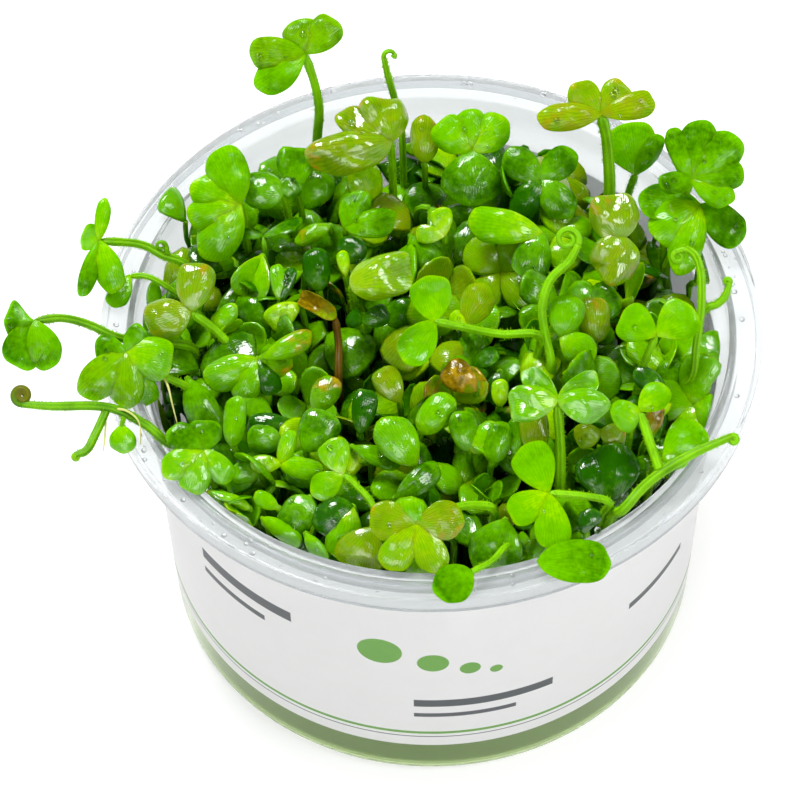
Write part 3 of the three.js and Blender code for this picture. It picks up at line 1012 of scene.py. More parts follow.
FRONDS = (
    Frond("tall", (-19, 38, 80),
          ((46, 7.2, 5.4, DOMED, DULL), (98, 5.2, 6.2, DOMED, DULL), (180, 8.6, 5.2, DROOPING, DULL),
           (-143, 8.8, 5.8, DOMED, MID)),
          ((-17.5, 34.5, 62), (-17, 35.5, 69), (-17.5, 36.5, 74)), 1.5),
    # Painted shade: the stalks of left_clover and left_folded have a shade below 0.75.
    Frond("left_clover", (-50, 10.5, 69),
          ((81, 6.3, 2.4), (160, 2.8, 4.4, CUPPED), (-107, 8.6, 2.9, DOMED, GREEN), (-72, 8, 4.6)),
          ((-37, 9.5, 64), (-40.5, 10, 66), (-44, 11, 67.5)), 1.4, (-24, 6), shade=0.6),
    Frond("left_under", (-45.5, 7.1, 64.7),
          ((-120, 5.4, 3.6),),
          ((-36.5, 4, 61.4), (-39, 5, 63.7), (-42.5, 6.6, 65)), 1.0, (-24, 2)),
    Frond("left_folded", (-59, -5, 69.5),
          ((180, 4.5, 6.4, FAN, GREEN), (-112, 7.6, 6.4, CUPPED, GREEN), (-72, 7.4, 5.4, DOMED, MID)),
          ((-36, -3, 60), (-42, -5, 64), (-47, -5.5, 66), (-51, -4.5, 67.8), (-55, -4, 68.8)), 1.4,
          (-24, -4), shade=0.55),
    Frond("left_fan", (-45.5, -9, 67),
          ((-134, 9, 6, DOMED, DULL), (-90, 8.2, 5.8, DOMED, DULL), (-14, 7.4, 7),
           (57, 4.6, 3.2, DOMED, GREEN), (168, 4.8, 4, DOMED, GREEN), (-66, 9.6, 4.4, DOMED, FRESH, -22)),
          ((-36, -11, 60), (-41, -11, 64.5)), 1.3, (-26, -10)),
    Frond("left_hanging", (-45.8, -20.6, 64.2),
          ((-88, 4, 4.3),),
          ((-45.4, -19.3, 65.4), (-45.6, -20, 64.9)), 0.8, perched=True),
    Frond("left_upright", (-29, 19, 67),
          ((112, 9, 7), (160, 7.8, 5.6), (-162, 8, 5.6), (-119, 9.6, 7)), facing=(45, -80)),
    Frond("back_left_bulb", (-22.5, 22, 66),
          ((172, 6.4, 6.2, BEAN, GREEN), (40, 3, 4, BEAN, GREEN)), wet=1.0, facing=(30, -90)),
    Frond("back_ripple", (-6, 28, 71),
          ((112, 7, 9, CRUMPLED, OLIVE), (-165, 12.6, 7.2, CRUMPLED, OLIVE), (150, 9, 5, RIPPLED, OLIVE)),
          slot="olive_leaf", wet=1.0),
    Frond("left_olive", (-36, -1.5, 67),
          ((80, 7.6, 6.2, DOMED, OLIVE), (-162, 7, 7, DOMED, OLIVE)),
          ((-28.5, -4.5, 58), (-32, -2.5, 63)), 1.5, slot="olive_leaf", wet=1.0),
    Frond("left_rim", (-33.5, -25.7, 65),
          ((150, 6, 4.6, DOMED, GREEN), (-150, 7, 4.6), (-108, 6.8, 5), (-48, 6.2, 3.8),
           (88, 4.6, 5.4, DOMED, GREEN)), facing=(30, -80)),
    Frond("front_left_small", (-13, -29.5, 64),
          ((112, 5.6, 4.8, FLAT), (-148, 5.4, 4.4, FLAT)),
          ((-7.5, -35.3, 59), (-9, -32.8, 61.6), (-11, -31, 63)), 1.1, (-7, -28)),
    Frond("front_fan", (-2.5, -40, 66),
          ((172, 6.6, 6, FLAT, OLIVE), (-122, 7.8, 5, FLAT, PALE_OLIVE), (-62, 7.8, 5, FLAT, PALE_OLIVE),
           (8, 7, 6, FLAT, OLIVE)),
          ((9, -34, 61), (6.5, -34.5, 63), (3, -36.5, 65)), 1.4, slot="olive_leaf"),
    Frond("front_round", (5.5, -47, 64),
          ((-145, 6, 6, OVAL, GREEN),),
          ((11, -40, 60.5), (8.5, -44.3, 62.6)), 1.0, (8, -30), wet=-1.0, facing=(20, -90)),
    Frond("front_oval", (15.5, -45, 63.5),
          ((0, 10.6, 6.8, OVAL, GREEN),),
          ((18.5, -37, 60), (17, -42, 62)), 1.0, (14, -28), wet=-0.8, facing=(16, -90)),
    Frond("front_clover", (17, -34.5, 66),
          ((115, 8, 6.4, FLAT), (-148, 6.8, 5, FLAT), (-84, 8.6, 5.4, FLAT)),
          ((26, -33.5, 62), (22, -34, 64.5)), 1.2, wet=-0.9, facing=(26, -90)),
    Frond("wet_pair", (18.5, -21, 70.5),
          ((138, 6.6, 3.6, CUPPED), (186, 7.6, 5.6, RIPPLED), (-12, 7.4, 5.4, RIPPLED),
           (30, 7, 3.6, CUPPED)),
          ((19, -27, 58), (19, -24.5, 63)), 1.6, wet=1.0),
    Frond("right_bright", (33.5, -8, 69),
          ((152, 6.2, 6, FLAT), (34, 6.8, 6.6, FLAT)),
          ((31, -10.5, 61), (32, -9.5, 65)), 1.2),
    Frond("back_olive", (26, 28, 77),
          ((-176, 9.4, 4.6, DOMED, AMBER), (132, 6.2, 5, FLAT, OLIVE), (52, 6, 5, FLAT, OLIVE),
           (14, 8.6, 4.4, DOMED, AMBER)),
          ((27.5, 24, 64), (27, 27.6, 71)), 1.9, slot="olive_leaf"),
    Frond("back_round", (31.5, 26, 65), ((100, 8, 8.4, FLAT, MID), (58, 7, 3.4, DOMED, GREEN))),
    Frond("right_upper", (39.5, 18.5, 73),
          ((112, 8.4, 3.6, BEAN, GREEN), (78, 9, 6.6, DOMED, GREEN), (44, 9.4, 7, DOMED, GREEN),
           (10, 8, 5.6, DOMED, GREEN), (-30, 7, 4.4, DOMED, MID), (-170, 5, 3.6, BEAN, GREEN)),
          facing=(28, -90)),
    Frond("right_lower", (41, 17.5, 68),
          ((-38, 8.4, 6.2, DOMED, GREEN), (178, 9.4, 6, CUPPED, GREEN), (-142, 8.6, 8), (-108, 11, 5.4)),
          facing=(30, -80)),
    Frond("right_peanut", (29, 9, 71),
          ((112, 7, 8, CRUMPLED, OLIVE), (-112, 7, 8, CRUMPLED, OLIVE)), slot="olive_leaf", wet=1.0),
    Frond("middle_bright", (0.5, -7, 71.5),
          ((97, 6.8, 6.4, CUPPED), (-126, 7.6, 5.6, CUPPED)),
          ((16, -6, 66.5), (10.5, -6.5, 67.5), (4.5, -7, 70)), 1.3),
    Frond("middle_glossy", (-12, 4, 66),
          ((15, 10, 7.4, CRUMPLED, PALE_OLIVE),), slot="olive_leaf", wet=1.0, facing=(30, -90)),
    Frond("back_crown", (6.5, 30, 66),
          ((140, 7, 6.2), (95, 6.4, 5.4), (45, 7, 6.2), (-92, 8.2, 10, DOMED, GREEN))),
    Frond("back_dark", (17, 25, 65),
          ((142, 6.8, 5.4, DOMED, GREEN), (42, 6.6, 5.2, DOMED, GREEN), (-125, 7, 4.8, BEAN, DARK),
           (-52, 7, 5.6, DOMED, GREEN))),
    Frond("middle_drop", (17, 14.5, 65),
          ((170, 11.5, 5.8), (-112, 7.6, 6.2, DOMED, GREEN)), facing=(30, -90)),
    Frond("right_runner", (30.5, -22.5, 70), ((-158, 4.2, 5.2), (40, 5.2, 4.4))),
    Frond("right_side", (34, -27.5, 64.5), ((42, 7.6, 6.2, FLAT), (-5, 3.5, 2.6)), facing=(30, -80)),
    Frond("withered", (-14.5, 1.5, 61.5),
          ((150, 6.8, 2.9, SHRIVELLED, WITHERED),),
          ((-14, -6, 56), (-14, -1, 58)), 1.3, slot="withered", facing=(30, -90)),
)
LOW_FRONDS = tuple(Frond("low", row[:3], row[3:]) for row in (
    (-26, -7.5, 63, (-155, 8.5, 5.5), (-112, 6.8, 4.8, BEAN), (-65, 6, 4, BEAN, DARK),
     (-12, 5.2, 4.6, DOMED, TIPPED)),
    (-36.5, -10, 61.5, (-65, 9.5, 5.5, DOMED, GREEN)),
    (-25, -8.5, 64.5, (25, 8, 3.6, DOMED, TIPPED)),
    (-29.5, -22, 61, (85, 7.5, 3.6, BEAN)),
    (-22.5, -21.5, 61.5, (175, 5, 4.6, BEAN, GREEN)),
    (-20, -18.5, 60, (180, 7.5, 5.5, DOMED, DARK)),
    (-22.2, -26.5, 62.5, (72, 5.2, 2.6, BEAN), (180, 4.5, 2.9, DOMED, PALE), (-12, 6.2, 3.4, BEAN)),
    (-18.7, -23.6, 61.5, (60, 7, 6.4, DOMED, GREEN)),
    (-17.5, -16, 61, (60, 6, 4.5, DOMED, TIPPED)),
    (-2.3, -26.7, 62, (125, 8.5, 6.5)),
    (-4.7, -14.2, 61, (120, 6, 4.5, DOMED, OLIVE)),
    (-10.7, -18.6, 59, (80, 7, 4, DOMED, DARK)),
    (-11.8, -22.4, 61, (-20, 7.8, 3.2, DROOPING, GREEN)),
    (-5.4, -31.4, 60.5, (35, 8, 4, DROOPING, GREEN)),
    (-18, -32.3, 62, (-125, 6, 5.8, BEAN, GREEN)),
    (-11.7, -33.6, 61.5, (-152, 6.2, 6, BEAN, DARK), (-106, 8, 5.5)),
    (-22.6, -33.4, 61, (150, 4, 2.6)),
    (-27, -33, 60.5, (165, 6.2, 3, BEAN)),
    (-25, -35.2, 60.5, (-35, 7, 3.6, BEAN)),
    (-18.5, -37.4, 60, (-60, 5, 3)),
    (-8.8, -37.8, 62, (-115, 7.5, 8, DOMED, OLIVE)),
    (-25.7, -26.5, 61, (-170, 4, 3.5, BEAN)),
    (-0.8, 30.4, 63, (90, 7, 4.8, BEAN, OLIVE)),
    (2.2, 16.6, 62, (100, 4.5, 3.5, FLAT, PALE), (175, 4.6, 3, FLAT, PALE)),
    (-3, 17.4, 61, (-60, 8, 6, DOMED, GREEN)),
    (5.3, -2.3, 64, (65, 6.8, 5.4, DOMED, OLIVE), (140, 3, 2.5, BEAN, PALE)),
    (19.4, -5.2, 65, (78, 6.5, 6), (-35, 6, 5.5)),
    (24.6, -4.3, 62.5, (92, 6.9, 5.4, BEAN, OLIVE)),
    (6.7, -13.7, 63, (140, 6.2, 5, DOMED, BROWN)),
    (10.3, -9.4, 62, (-100, 5, 4, DOMED, DARK)),
    (-1.7, -20.8, 62.5, (50, 7, 5, BEAN)),
    (5.7, -23.8, 62, (105, 6, 4.6, BEAN, GREEN), (40, 5.5, 4.2, BEAN)),
    (8.9, -25.6, 61.5, (75, 6, 4.5, BEAN, GREEN)),
    (10.2, -15.6, 62, (90, 4, 2.6, BEAN, PALE)),
    (24.9, -22.1, 64, (195, 4, 4, DOMED, OLIVE), (-15, 4, 4, DOMED, OLIVE)),
    (32.6, -21.3, 62, (80, 5, 2.8, DOMED, BROWN)),
    (26.4, -30.5, 58.5, (95, 8, 10, RIPPLED, DARK)),
    (23.4, -38.7, 60, (95, 4.5, 4, DOMED, DARK)),
    (10.7, -36.5, 62, (-108, 8, 8.4, RIPPLED, GREEN)),
    (12.3, -24, 61, (85, 5.5, 3.2, DOMED, GREEN)),
    (15.6, -25.3, 61, (95, 8, 4.6, DOMED, OLIVE)),
    (35, -13, 62, (150, 5.5, 3.5, DOMED, DARK)),
    (35.6, -14.3, 60, (-160, 3.5, 2.8, DOMED, PALE)),
    (-25.6, 12.1, 63, (-112, 7, 6, FOLDED)),
    (-22.8, 4, 62, (95, 6, 2.4), (70, 5.5, 2.4, DOMED, DARK)),
    (-17, 6.3, 62, (95, 6.5, 4.6, BEAN, DARK)),
    (-13, 11, 63, (60, 4, 5, BEAN, DARK)),
    (-12.8, 7.4, 64, (100, 4, 2, DOMED, PALE)),
    (-19.8, 3.1, 62.5, (-150, 6, 4, RIPPLED, PALE)),
    (-10.4, 0.9, 61, (160, 2.4, 3, DOMED, DARK), (20, 4.5, 3.5, DOMED, DARK)),
    (-33, -1.6, 63, (40, 5, 3, BEAN)),
    (-13, 14.8, 66.3, (8, 8, 4.6, RIPPLED, MID), (62, 6, 5, RIPPLED, GREEN)),
    (-15.3, 16.7, 64.5, (-155, 5.5, 3, RIPPLED, TIPPED)),
    (-20.5, 22.9, 66, (92, 6.6, 5.8, RIPPLED, GREEN)),
))


@dataclass(frozen=True)
class Shoot:
    """A coiled young frond or a runner: its line, its thickness, and the size and turns of its coil.

    hand is the side that it coils to, knob how much thicker it gets at the very tip, and a rooted one
    starts in the gel. shade is the stalk's shade mark, which the left-hand runner has lower as painted
    shade.
    """

    name: str
    points: tuple[Point, ...]
    thick: float
    coil: float = 0.0
    turns: float = 1.5
    hand: int = 1
    brown: float = 0.0
    rooted: bool = True
    knob: float = 0.0
    shade: float = 0.75

    @property
    def piece(self) -> str:
        """The piece's name."""
        return self.name.replace("crozier", "coil").replace("runner", "creeper")


SHOOTS = (
    Shoot("crozier_back",
          ((-4.5, 37, 65), (-5.5, 38.5, 69), (-6.5, 40, 73), (-7, 41, 75.4)), 1.1, 1.35, 0.6, -1,
          knob=0.9),
    Shoot("crozier_middle",
          ((18, -8.5, 62), (17.2, -5.5, 65), (16.6, -2.5, 68.5), (17.8, 0.2, 71.8), (20.6, 2.2, 73.8),
           (22, 4, 75.6)), 1.4, 2.3, 1.25, 1),
    Shoot("crozier_right",
          ((39, -10, 61.5), (39.6, -7, 65), (40.2, -4, 68.5), (40.4, -1.4, 71.2), (40.2, 1.2, 73),
           (39.4, 3, 74.1), (38, 3.8, 74.5), (36.6, 3.5, 74.3)), 1.2, 1.3, 0.9, 1),
    Shoot("crozier_small",
          ((41.5, 1.5, 63), (43, 1.8, 63.6), (44.3, 2.5, 64.8), (45, 3.7, 66.6)), 1.2, 0.9, 0.9, 1),
    # Painted shade: runner_left and its branch have stalks with a shade below 0.75.
    Shoot("runner_left",
          ((-39.5, -22.5, 63), (-42.5, -20.5, 64.5), (-48, -18.5, 66), (-56, -19, 67),
           (-60.6, -18.8, 67.3)), 1.4, 1.8, 1.7, -1, 0.7, shade=0.45),
    Shoot("runner_left_branch",
          ((-48.2, -19, 65.5), (-49.5, -22, 64.6), (-50.8, -25, 64.3), (-52.5, -26, 64.3)), 1.3, 0.8, 0.9,
          1, 0.1, False, shade=0.5),
    Shoot("runner_right",
          ((28, -35, 62.3), (30.5, -32.5, 63.7), (33.5, -30.5, 65.2), (38.5, -28, 66.7), (44, -26, 68)),
          1.5, 1.1, 1.2, -1, shade=0.65),
    Shoot("runner_right_branch",
          ((33.3, -30, 65.6), (32, -26.5, 67.4), (30.7, -23, 69.6)), 1.4, rooted=False),
)
BUD = Shoot("bud", ((-39.6, 10, 65.6), (-39.9, 10.3, 66.6), (-39.9, 10.6, 67.6)), 0.8, 1.1, 1.2, 1,
            rooted=False)
ROOTLETS = (
    ((-47, -18.8, 66), (-45, -19.5, 66.4), (-43.2, -21, 65.6), (-43, -23.5, 63.5)),
    ((-48.5, -18.8, 65.8), (-48.2, -20.5, 64.6), (-48.4, -23, 63.2), (-48.6, -24, 62.4)),
    ((-40, -11, 63.6), (-39.2, -13, 63.6), (-38.6, -15.5, 63), (-37.8, -18.5, 62)),
)


def hairs(path: Array, radius: Array, width: float, count: int, rng: Random) -> Shell:
    """Fine hairs on a stalk: thin cones on three sides, square to its surface.

    Args:
        path: The stalk's line (k, 3).
        radius: Its radius at each point (k,).
        width: Radius of a hair's foot.
        count: Number of hairs.
        rng: Seeded source of places.

    Returns:
        Closed cones.
    """
    at = rng.uniform(0, len(path) - 1.01, count)
    low = at.astype(int)
    share = (at - low)[:, None]
    centre = path[low] * (1 - share) + path[low + 1] * share
    tangent = unit(path[low + 1] - path[low])
    out = unit(np.cross(tangent, unit(rng.normal(size=(count, 3)))))
    foot = centre + out * radius[low][:, None] * 0.9
    lean = unit(out + tangent * rng.uniform(-0.3, 0.6, (count, 1)))
    tip = foot + lean * rng.uniform(0.25, 0.6, (count, 1))
    other = np.cross(out, tangent)
    angle = (np.arange(3) * 2 * np.pi / 3)[:, None]
    ring = foot[:, None] + width * (np.cos(angle) * tangent[:, None] + np.sin(angle) * other[:, None])
    faces = np.array([[0, 3, 1], [1, 3, 2], [2, 3, 0], [0, 1, 2]])
    return Shell.copies(np.concatenate([ring, tip[:, None]], 1), np.zeros((0, 4), int), faces,
                        np.zeros((count, 4, 2)), {"shade": np.full(count, 0.9)})


@dataclass
class Fronds:
    """The fronds and shoots that stand clear of the crown.

    Widths are shares of a stalk's thickness: at its foot and its neck, at its last steps below the joint,
    and at the end of a shoot.
    """

    rings: int = 10
    around: int = 46
    sides: int = 14
    widths: tuple[float, float] = (1.15, 0.85)
    joint_widths: tuple[float, ...] = (1.05, 1.15, 0.95, 0.5)
    tip_width: float = 0.75
    tip_steps: int = 12
    hair_spacing: float = 0.1
    hair_width: float = 0.075
    hairy_above: float = 52.0
    shoot_steps: int = 60
    coil_steps: int = 44
    coil_sides: int = 12
    rootlet_steps: int = 14
    rootlet_sides: int = 8
    rootlet_radii: tuple[float, float] = (0.22, 0.08)
    coils_face: Point = (0.0, -0.5948, 0.8039)

    def build(self, leaf: Material, stalk: Material, nodes: set[str]) -> None:
        """Makes a blade and a stalk piece for each frond, and a piece for each shoot.

        Args:
            leaf: Leaf material.
            stalk: Stalk material.
            nodes: Names of the CAD nodes, which the pieces replace.
        """
        rng = np.random.default_rng(SEED)
        for frond in FRONDS:
            node = "leaf_" + frond.name
            blade = frond.leaflets(rng).shell(self.rings, self.around)
            put_piece("blade_" + frond.name, blade, leaf, (node,) if node in nodes else ())
            path = frond.stalk_path()
            radius = np.linspace(*self.widths, len(path)) * frond.thick / 2
            radius[-len(self.joint_widths):] *= self.joint_widths
            withered = 1.0 if frond.slot == "withered" else 0.0
            shell = self.stalk(path, radius, frond.shade, withered, rng)
            if frond.name == "left_clover":
                shell = joined([shell, *self.shoot_parts(BUD, rng)])
            node = "stalk_" + frond.name
            put_piece("petiole_" + frond.name, shell, stalk, (node,) if node in nodes else ())
        for shoot in SHOOTS:
            put_piece(shoot.piece, joined(self.shoot_parts(shoot, rng)), stalk, (shoot.name,))

    def stalk(self, path: Array, radius: Array, shade: float, brown: float, rng: Random) -> Shell:
        """A stalk and its hairs.

        Args:
            path: Its line.
            radius: Its radius at each point.
            shade: Shade mark.
            brown: Brown mark.
            rng: Seeded source of places.

        Returns:
            One shell.
        """
        above = path[:, 2] > self.hairy_above
        length = np.linalg.norm(np.diff(path[above], axis=0), axis=1).sum() if above.sum() > 2 else 0
        tube = tubes(path[None], radius[None], self.sides, shade, brown)
        count = int(length / self.hair_spacing * (1 - brown))
        if count < 4:
            return tube
        first = int(np.argmax(above))
        return joined([tube, hairs(path[first:], radius[first:], self.hair_width, count, rng)])

    def shoot_parts(self, shoot: Shoot, rng: Random) -> list[Shell]:
        """The line of a coiled frond or a runner, and the coil at its tip.

        Args:
            shoot: The table entry.
            rng: Seeded source of places.

        Returns:
            Its shells.
        """
        points = [np.array(p, float) for p in shoot.points]
        if shoot.rooted:
            inward = points[0] * (0.93, 0.93, 1) - (0, 0, 6)
            root = np.array([*(inward[:2] * 0.85), GEL_TOP - 1])
            points = [root, inward * (0.95, 0.95, 0.7), inward, *points]
        path = smooth_path(points, self.shoot_steps)
        radius = np.full(len(path), shoot.thick / 2)
        radius[-self.tip_steps:] *= np.linspace(1, self.tip_width, self.tip_steps)
        parts = [self.stalk(path, radius, shoot.shade, 0.0, rng)]
        if shoot.coil:
            parts.append(self.coil(path, radius[-1], shoot))
        if shoot.name == "runner_left":
            lines = smooth_path(ROOTLETS, self.rootlet_steps)
            radii = np.broadcast_to(np.linspace(*self.rootlet_radii, self.rootlet_steps), lines.shape[:2])
            parts.append(tubes(lines, radii, self.rootlet_sides, 1.6))
        return parts

    def coil(self, path: Array, start: float, shoot: Shoot) -> Shell:
        """A flat coil at the tip: point = middle + reach (sin a forward - cos a up), as the reach shrinks.

        Args:
            path: The shoot's line.
            start: The tube's radius where the coil starts.
            shoot: The table entry.

        Returns:
            The coil's tube.
        """
        forward = unit(path[-1] - path[-3])
        faced = np.array(self.coils_face)
        face = unit(faced - faced @ forward * forward)
        up = shoot.hand * np.cross(face, forward)
        steps = np.linspace(0, 1, self.coil_steps)
        angle = 2 * np.pi * shoot.turns * steps
        thick = start * (1 - 0.35 * steps) * (1 + 0.5 * shoot.brown * np.sin(np.pi * steps))
        thick = thick * (1 + shoot.knob * np.clip(4 * steps - 3, 0, 1) ** 0.5)
        reach = (shoot.coil - start) * (1 - min(0.8, 0.47 * shoot.turns) * steps)
        middle = path[-1] + up * reach[0]
        line = middle + reach[:, None] * (np.sin(angle)[:, None] * forward - np.cos(angle)[:, None] * up)
        brown = shoot.brown * np.minimum(1, steps * 4)
        return tubes(line[None], thick[None], self.coil_sides, 0.7 - 0.4 * shoot.brown, brown[None])


class Growth(Enum):
    """A kind of plantlet: its share of the crown, its leaflets, degrees between them and their length."""

    CLOVER = (0.3, 4, 90, 7.0)
    PAIR = (0.3, 2, 150, 8.2)
    SHUT = (0.12, 3, 120, 6.8)
    SINGLE = (0.28, 1, 0, 9.0)


@dataclass(frozen=True)
class Layer:
    """One layer of the crown: its depth, its number of plantlets, and its leaflets' fineness and shade,
    which deeper layers have lower as painted shade.
    """

    drop: float
    count: int
    rings: int
    around: int
    shade: float


@dataclass
class Crown:
    """The dense low plantlets, in the six clumps of the frame.

    Its top slopes and ripples. A pair of numbers is the range of a random draw: how far a joint stands
    above the layer, how many degrees a plantlet leans and its leaflets lift, open or shut, and the shares
    for their sizes and breadths.
    """

    top: float = 60.5
    radius: float = 44.4
    slope: float = 0.05
    ripple: float = 1.2
    back_step: float = 9.0
    front_rise: float = 3.0
    frond_gap: float = 2.2
    scatter: float = 1.4
    rise: tuple[float, float] = (-3.6, 1.0)
    lean: tuple[float, float] = (5, 62)
    opened: tuple[float, float] = (-22, 22)
    shut: tuple[float, float] = (30, 65)
    sizes: tuple[float, float] = (0.8, 1.2)
    breadths: tuple[float, float] = (0.68, 0.98)
    single_breadths: tuple[float, float] = (0.5, 0.85)
    olive_share: float = 0.12
    brown_share: float = 0.08
    # Painted shade: the deeper a layer, the lower its shade mark, so its leaves and stems are darker.
    layers: tuple[Layer, ...] = (
        Layer(1.0, 130, 3, 16, 0.46), Layer(6.0, 120, 3, 12, 0.3), Layer(12.0, 110, 2, 10, 0.15),
        Layer(20.0, 80, 2, 8, 0.05),
    )
    low_rings: int = 6
    low_around: int = 26
    stem_radius: float = 0.55
    stem_sides: int = 6
    stem_steps: int = 9
    wall_gap: float = 0.25
    hollows: tuple = ((-12, -3.5, 19, 7.5), (35, 15, 16, 5), (12, 4, 6, 5), (24, -32, 4, 6))
    mouth: tuple = ((SEAT_BOTTOM, 42.6), (SEAT_TOP + 1, 44.7), (TUB_HEIGHT, 44.7), (TUB_HEIGHT + 1.5, 48))

    def pressed(self, rng: Random) -> Array:
        """Points on the fronds, which the crown stays below.

        Args:
            rng: Seeded source of the leaflets' variety.

        Returns:
            Points (m, 3).
        """
        share = np.array([0, 0.7, 0.7, 0.7, 0.7, 1, 1, 1, 1, 1])
        turn = np.array([0, 0, 1.6, 3.1, -1.6, 0, 1, 2, -1, -2])
        blades = [frond.leaflets(rng).surface(share, turn).reshape(-1, 3) for frond in FRONDS + LOW_FRONDS]
        lines = [frond.stalk_path(40)[18:] for frond in FRONDS]
        return np.concatenate(blades + lines)

    def height(self, x: Array, y: Array, pressed: Array) -> Array:
        """Height of the crown's top.

        It is a rippled slope, less the hollows (x, y, depth, size) and a step down at the back wall, and
        more at the front wall. It stays a gap below a frond that is over it, and rises with the distance
        from that frond.

        Args:
            x: Places across (n,).
            y: Places towards the back (n,).
            pressed: Points that it stays below (m, 3).

        Returns:
            Heights (n,).
        """
        level = self.top + self.slope * y + self.ripple * np.sin(0.55 * x + 0.8) * np.cos(0.5 * y)
        for cx, cy, depth, size in self.hollows:
            level = level - depth * np.exp(-((x - cx) ** 2 + (y - cy) ** 2) / size**2)
        level = level - self.back_step * np.clip((y - 27) / 9, 0, 1)
        level = level + self.front_rise * np.clip((np.hypot(x, y) - 34) / 6, 0, 1) * np.clip(-y / 12, 0, 1)
        away = np.hypot(x[:, None] - pressed[None, :, 0], y[:, None] - pressed[None, :, 1])
        under = pressed[None, :, 2] - self.frond_gap + 0.9 * np.maximum(0, away - 1.6)
        return np.minimum(level, np.where(away < 3.5, under, np.inf).min(1))

    def plantlets(self, layer: Layer, pressed: Array, rng: Random) -> tuple[Leaflets, Array]:
        """One layer's leaflets and stalk lines.

        Places lie on a sunflower spiral, radius = R sqrt(i / n) and angle = i times the golden angle.

        Args:
            layer: The layer.
            pressed: Points that the crown stays below.
            rng: Seeded source of variety.

        Returns:
            The leaflets, four to a plantlet with some left out, and stalk control points (n, 5, 3).
        """
        n = layer.count
        i = np.arange(n) + 0.5
        radius = (self.radius - 1.0) * np.sqrt(i / n)
        angle = i * np.pi * (3 - 5**0.5) + layer.drop
        x = radius * np.cos(angle) + rng.uniform(-self.scatter, self.scatter, n)
        y = radius * np.sin(angle) + rng.uniform(-self.scatter, self.scatter, n)
        squeeze = np.minimum(1, (self.radius - 1.2) / np.hypot(x, y))
        x, y = x * squeeze, y * squeeze
        z = self.height(x, y, pressed) - layer.drop + rng.uniform(*self.rise, n)
        joint = np.stack([x, y, z], -1)
        towards = rng.uniform(-180, 180, n)
        towards = np.where(rng.random(n) < 0.5, -90 + rng.uniform(-60, 60, n), towards)
        axes = facing_axes(rng.uniform(*self.lean, n), towards)
        shares, counts, *_ = zip(*(growth.value for growth in Growth))
        kind = np.array(list(Growth))[rng.choice(len(Growth), n, p=shares)]
        shut, single = kind == Growth.SHUT, kind == Growth.SINGLE
        _, count, spacing, size = np.array([growth.value for growth in kind]).T
        opening = np.where(shut, rng.uniform(*self.shut, n), rng.uniform(*self.opened, n))
        size = rng.uniform(*self.sizes, n) * size
        broad = np.where(single, rng.uniform(*self.single_breadths, n), rng.uniform(*self.breadths, n))
        turn0 = rng.uniform(0, 2 * np.pi, n)
        # Painted shade: plantlets that stand below the crown's top are darker the lower they stand.
        deep = np.maximum(0, self.top - layer.drop - z)
        shade = np.clip(layer.shade + 0.05 - 0.03 * deep + rng.normal(0, 0.2, n), 0, 1)
        tinted = rng.random(n) < self.olive_share
        olive = np.where(tinted, rng.uniform(0.35, 0.9, n), rng.uniform(0, 0.05, n))
        brown = np.where(rng.random(n) < self.brown_share, rng.uniform(0.3, 0.8, n), 0)
        sets, none = [], np.zeros(n)
        for k in range(max(counts)):
            turn = turn0 + k * np.radians(spacing) + rng.uniform(-0.25, 0.25, n)
            along, up = leaflet_axes(axes, turn, np.radians(opening + rng.uniform(-10, 10, n)))
            length = size * rng.uniform(0.85, 1.12, n)
            sets.append(Leaflets(
                joint - JOINT_OVERLAP * along, along, up, length,
                length * broad * rng.uniform(0.9, 1.08, n),
                np.where(shut, rng.uniform(0.5, 1.3, n), rng.uniform(-1.9, -0.5, n)),
                np.where(shut, rng.uniform(0.2, 0.8, n), rng.uniform(-1.7, -0.5, n)),
                rng.uniform(0.0, 0.03, n) + 0.03 * (rng.random(n) < 0.12), none,
                rng.uniform(0, 2 * np.pi, n), rng.uniform(0.2, 0.55, n), rng.uniform(0.32, 0.75, n), none,
                np.clip(shade + rng.normal(0, 0.07, n), 0, 1), olive, brown * rng.uniform(0.3, 1, n), none,
            ).chosen(count > k))
        x, y = x * 0.8 + rng.uniform(-2, 2, n), y * 0.8 + rng.uniform(-2, 2, n)
        root = np.stack([x, y, np.full(n, GEL_TOP - 1)], -1)
        low = joint * 0.45 + root * 0.55 + rng.uniform(-1.5, 1.5, (n, 3))
        high = joint - axes[2] * 3 - np.array([0, 0, 4.0])
        below = joint * 0.25 + high * 0.75 - (0, 0, 3)
        line = np.stack([root, low, below, joint - axes[2] * 2.2, joint], 1)
        return Leaflets.together(sets), line

    def squeezed(self, points: Array) -> Array:
        """Presses points in against the wall: past 94% of its limit a radius nears it and never passes it.

        Args:
            points: Points (n, 3).

        Returns:
            The points, moved in where they have to be.
        """
        radius, z = np.hypot(points[:, 0], points[:, 1]), points[:, 2]
        above = np.interp(z, *np.array(self.mouth).T)
        limit = np.where(z < SEAT_BOTTOM, inner_wall(z), above) - self.wall_gap
        start = 0.94 * limit
        room = limit - start
        pushed = limit - room * np.exp(-(radius - start) / room)
        scale = np.where(radius > start, pushed / np.maximum(radius, 1e-6), 1)
        return points * np.stack([scale, scale, np.ones_like(scale)], -1)

    def clump_of(self, points: Array) -> Array:
        """Number of the clump that each point is in: 0 in the middle, then the ring's in order.

        Args:
            points: Points (n, 3).

        Returns:
            Numbers (n,).
        """
        angle = (np.arctan2(points[:, 1], points[:, 0]) - CLUMP_TURN) % (2 * np.pi)
        ring = 1 + (angle // (2 * np.pi / len(RING_CLUMPS))).astype(int)
        return np.where(np.hypot(points[:, 0], points[:, 1]) < MIDDLE_CLUMP, 0, ring)

    def build(self, leaf: Material, stalk: Material) -> None:
        """Makes the leaves and stems of each clump.

        Args:
            leaf: Leaf material.
            stalk: Stalk material.
        """
        rng = np.random.default_rng(SEED + 1)
        pressed = self.pressed(np.random.default_rng(SEED))
        names = ("middle",) + RING_CLUMPS
        leaves: list[list[Shell]] = [[] for _ in names]
        stems: list[list[Shell]] = [[] for _ in names]

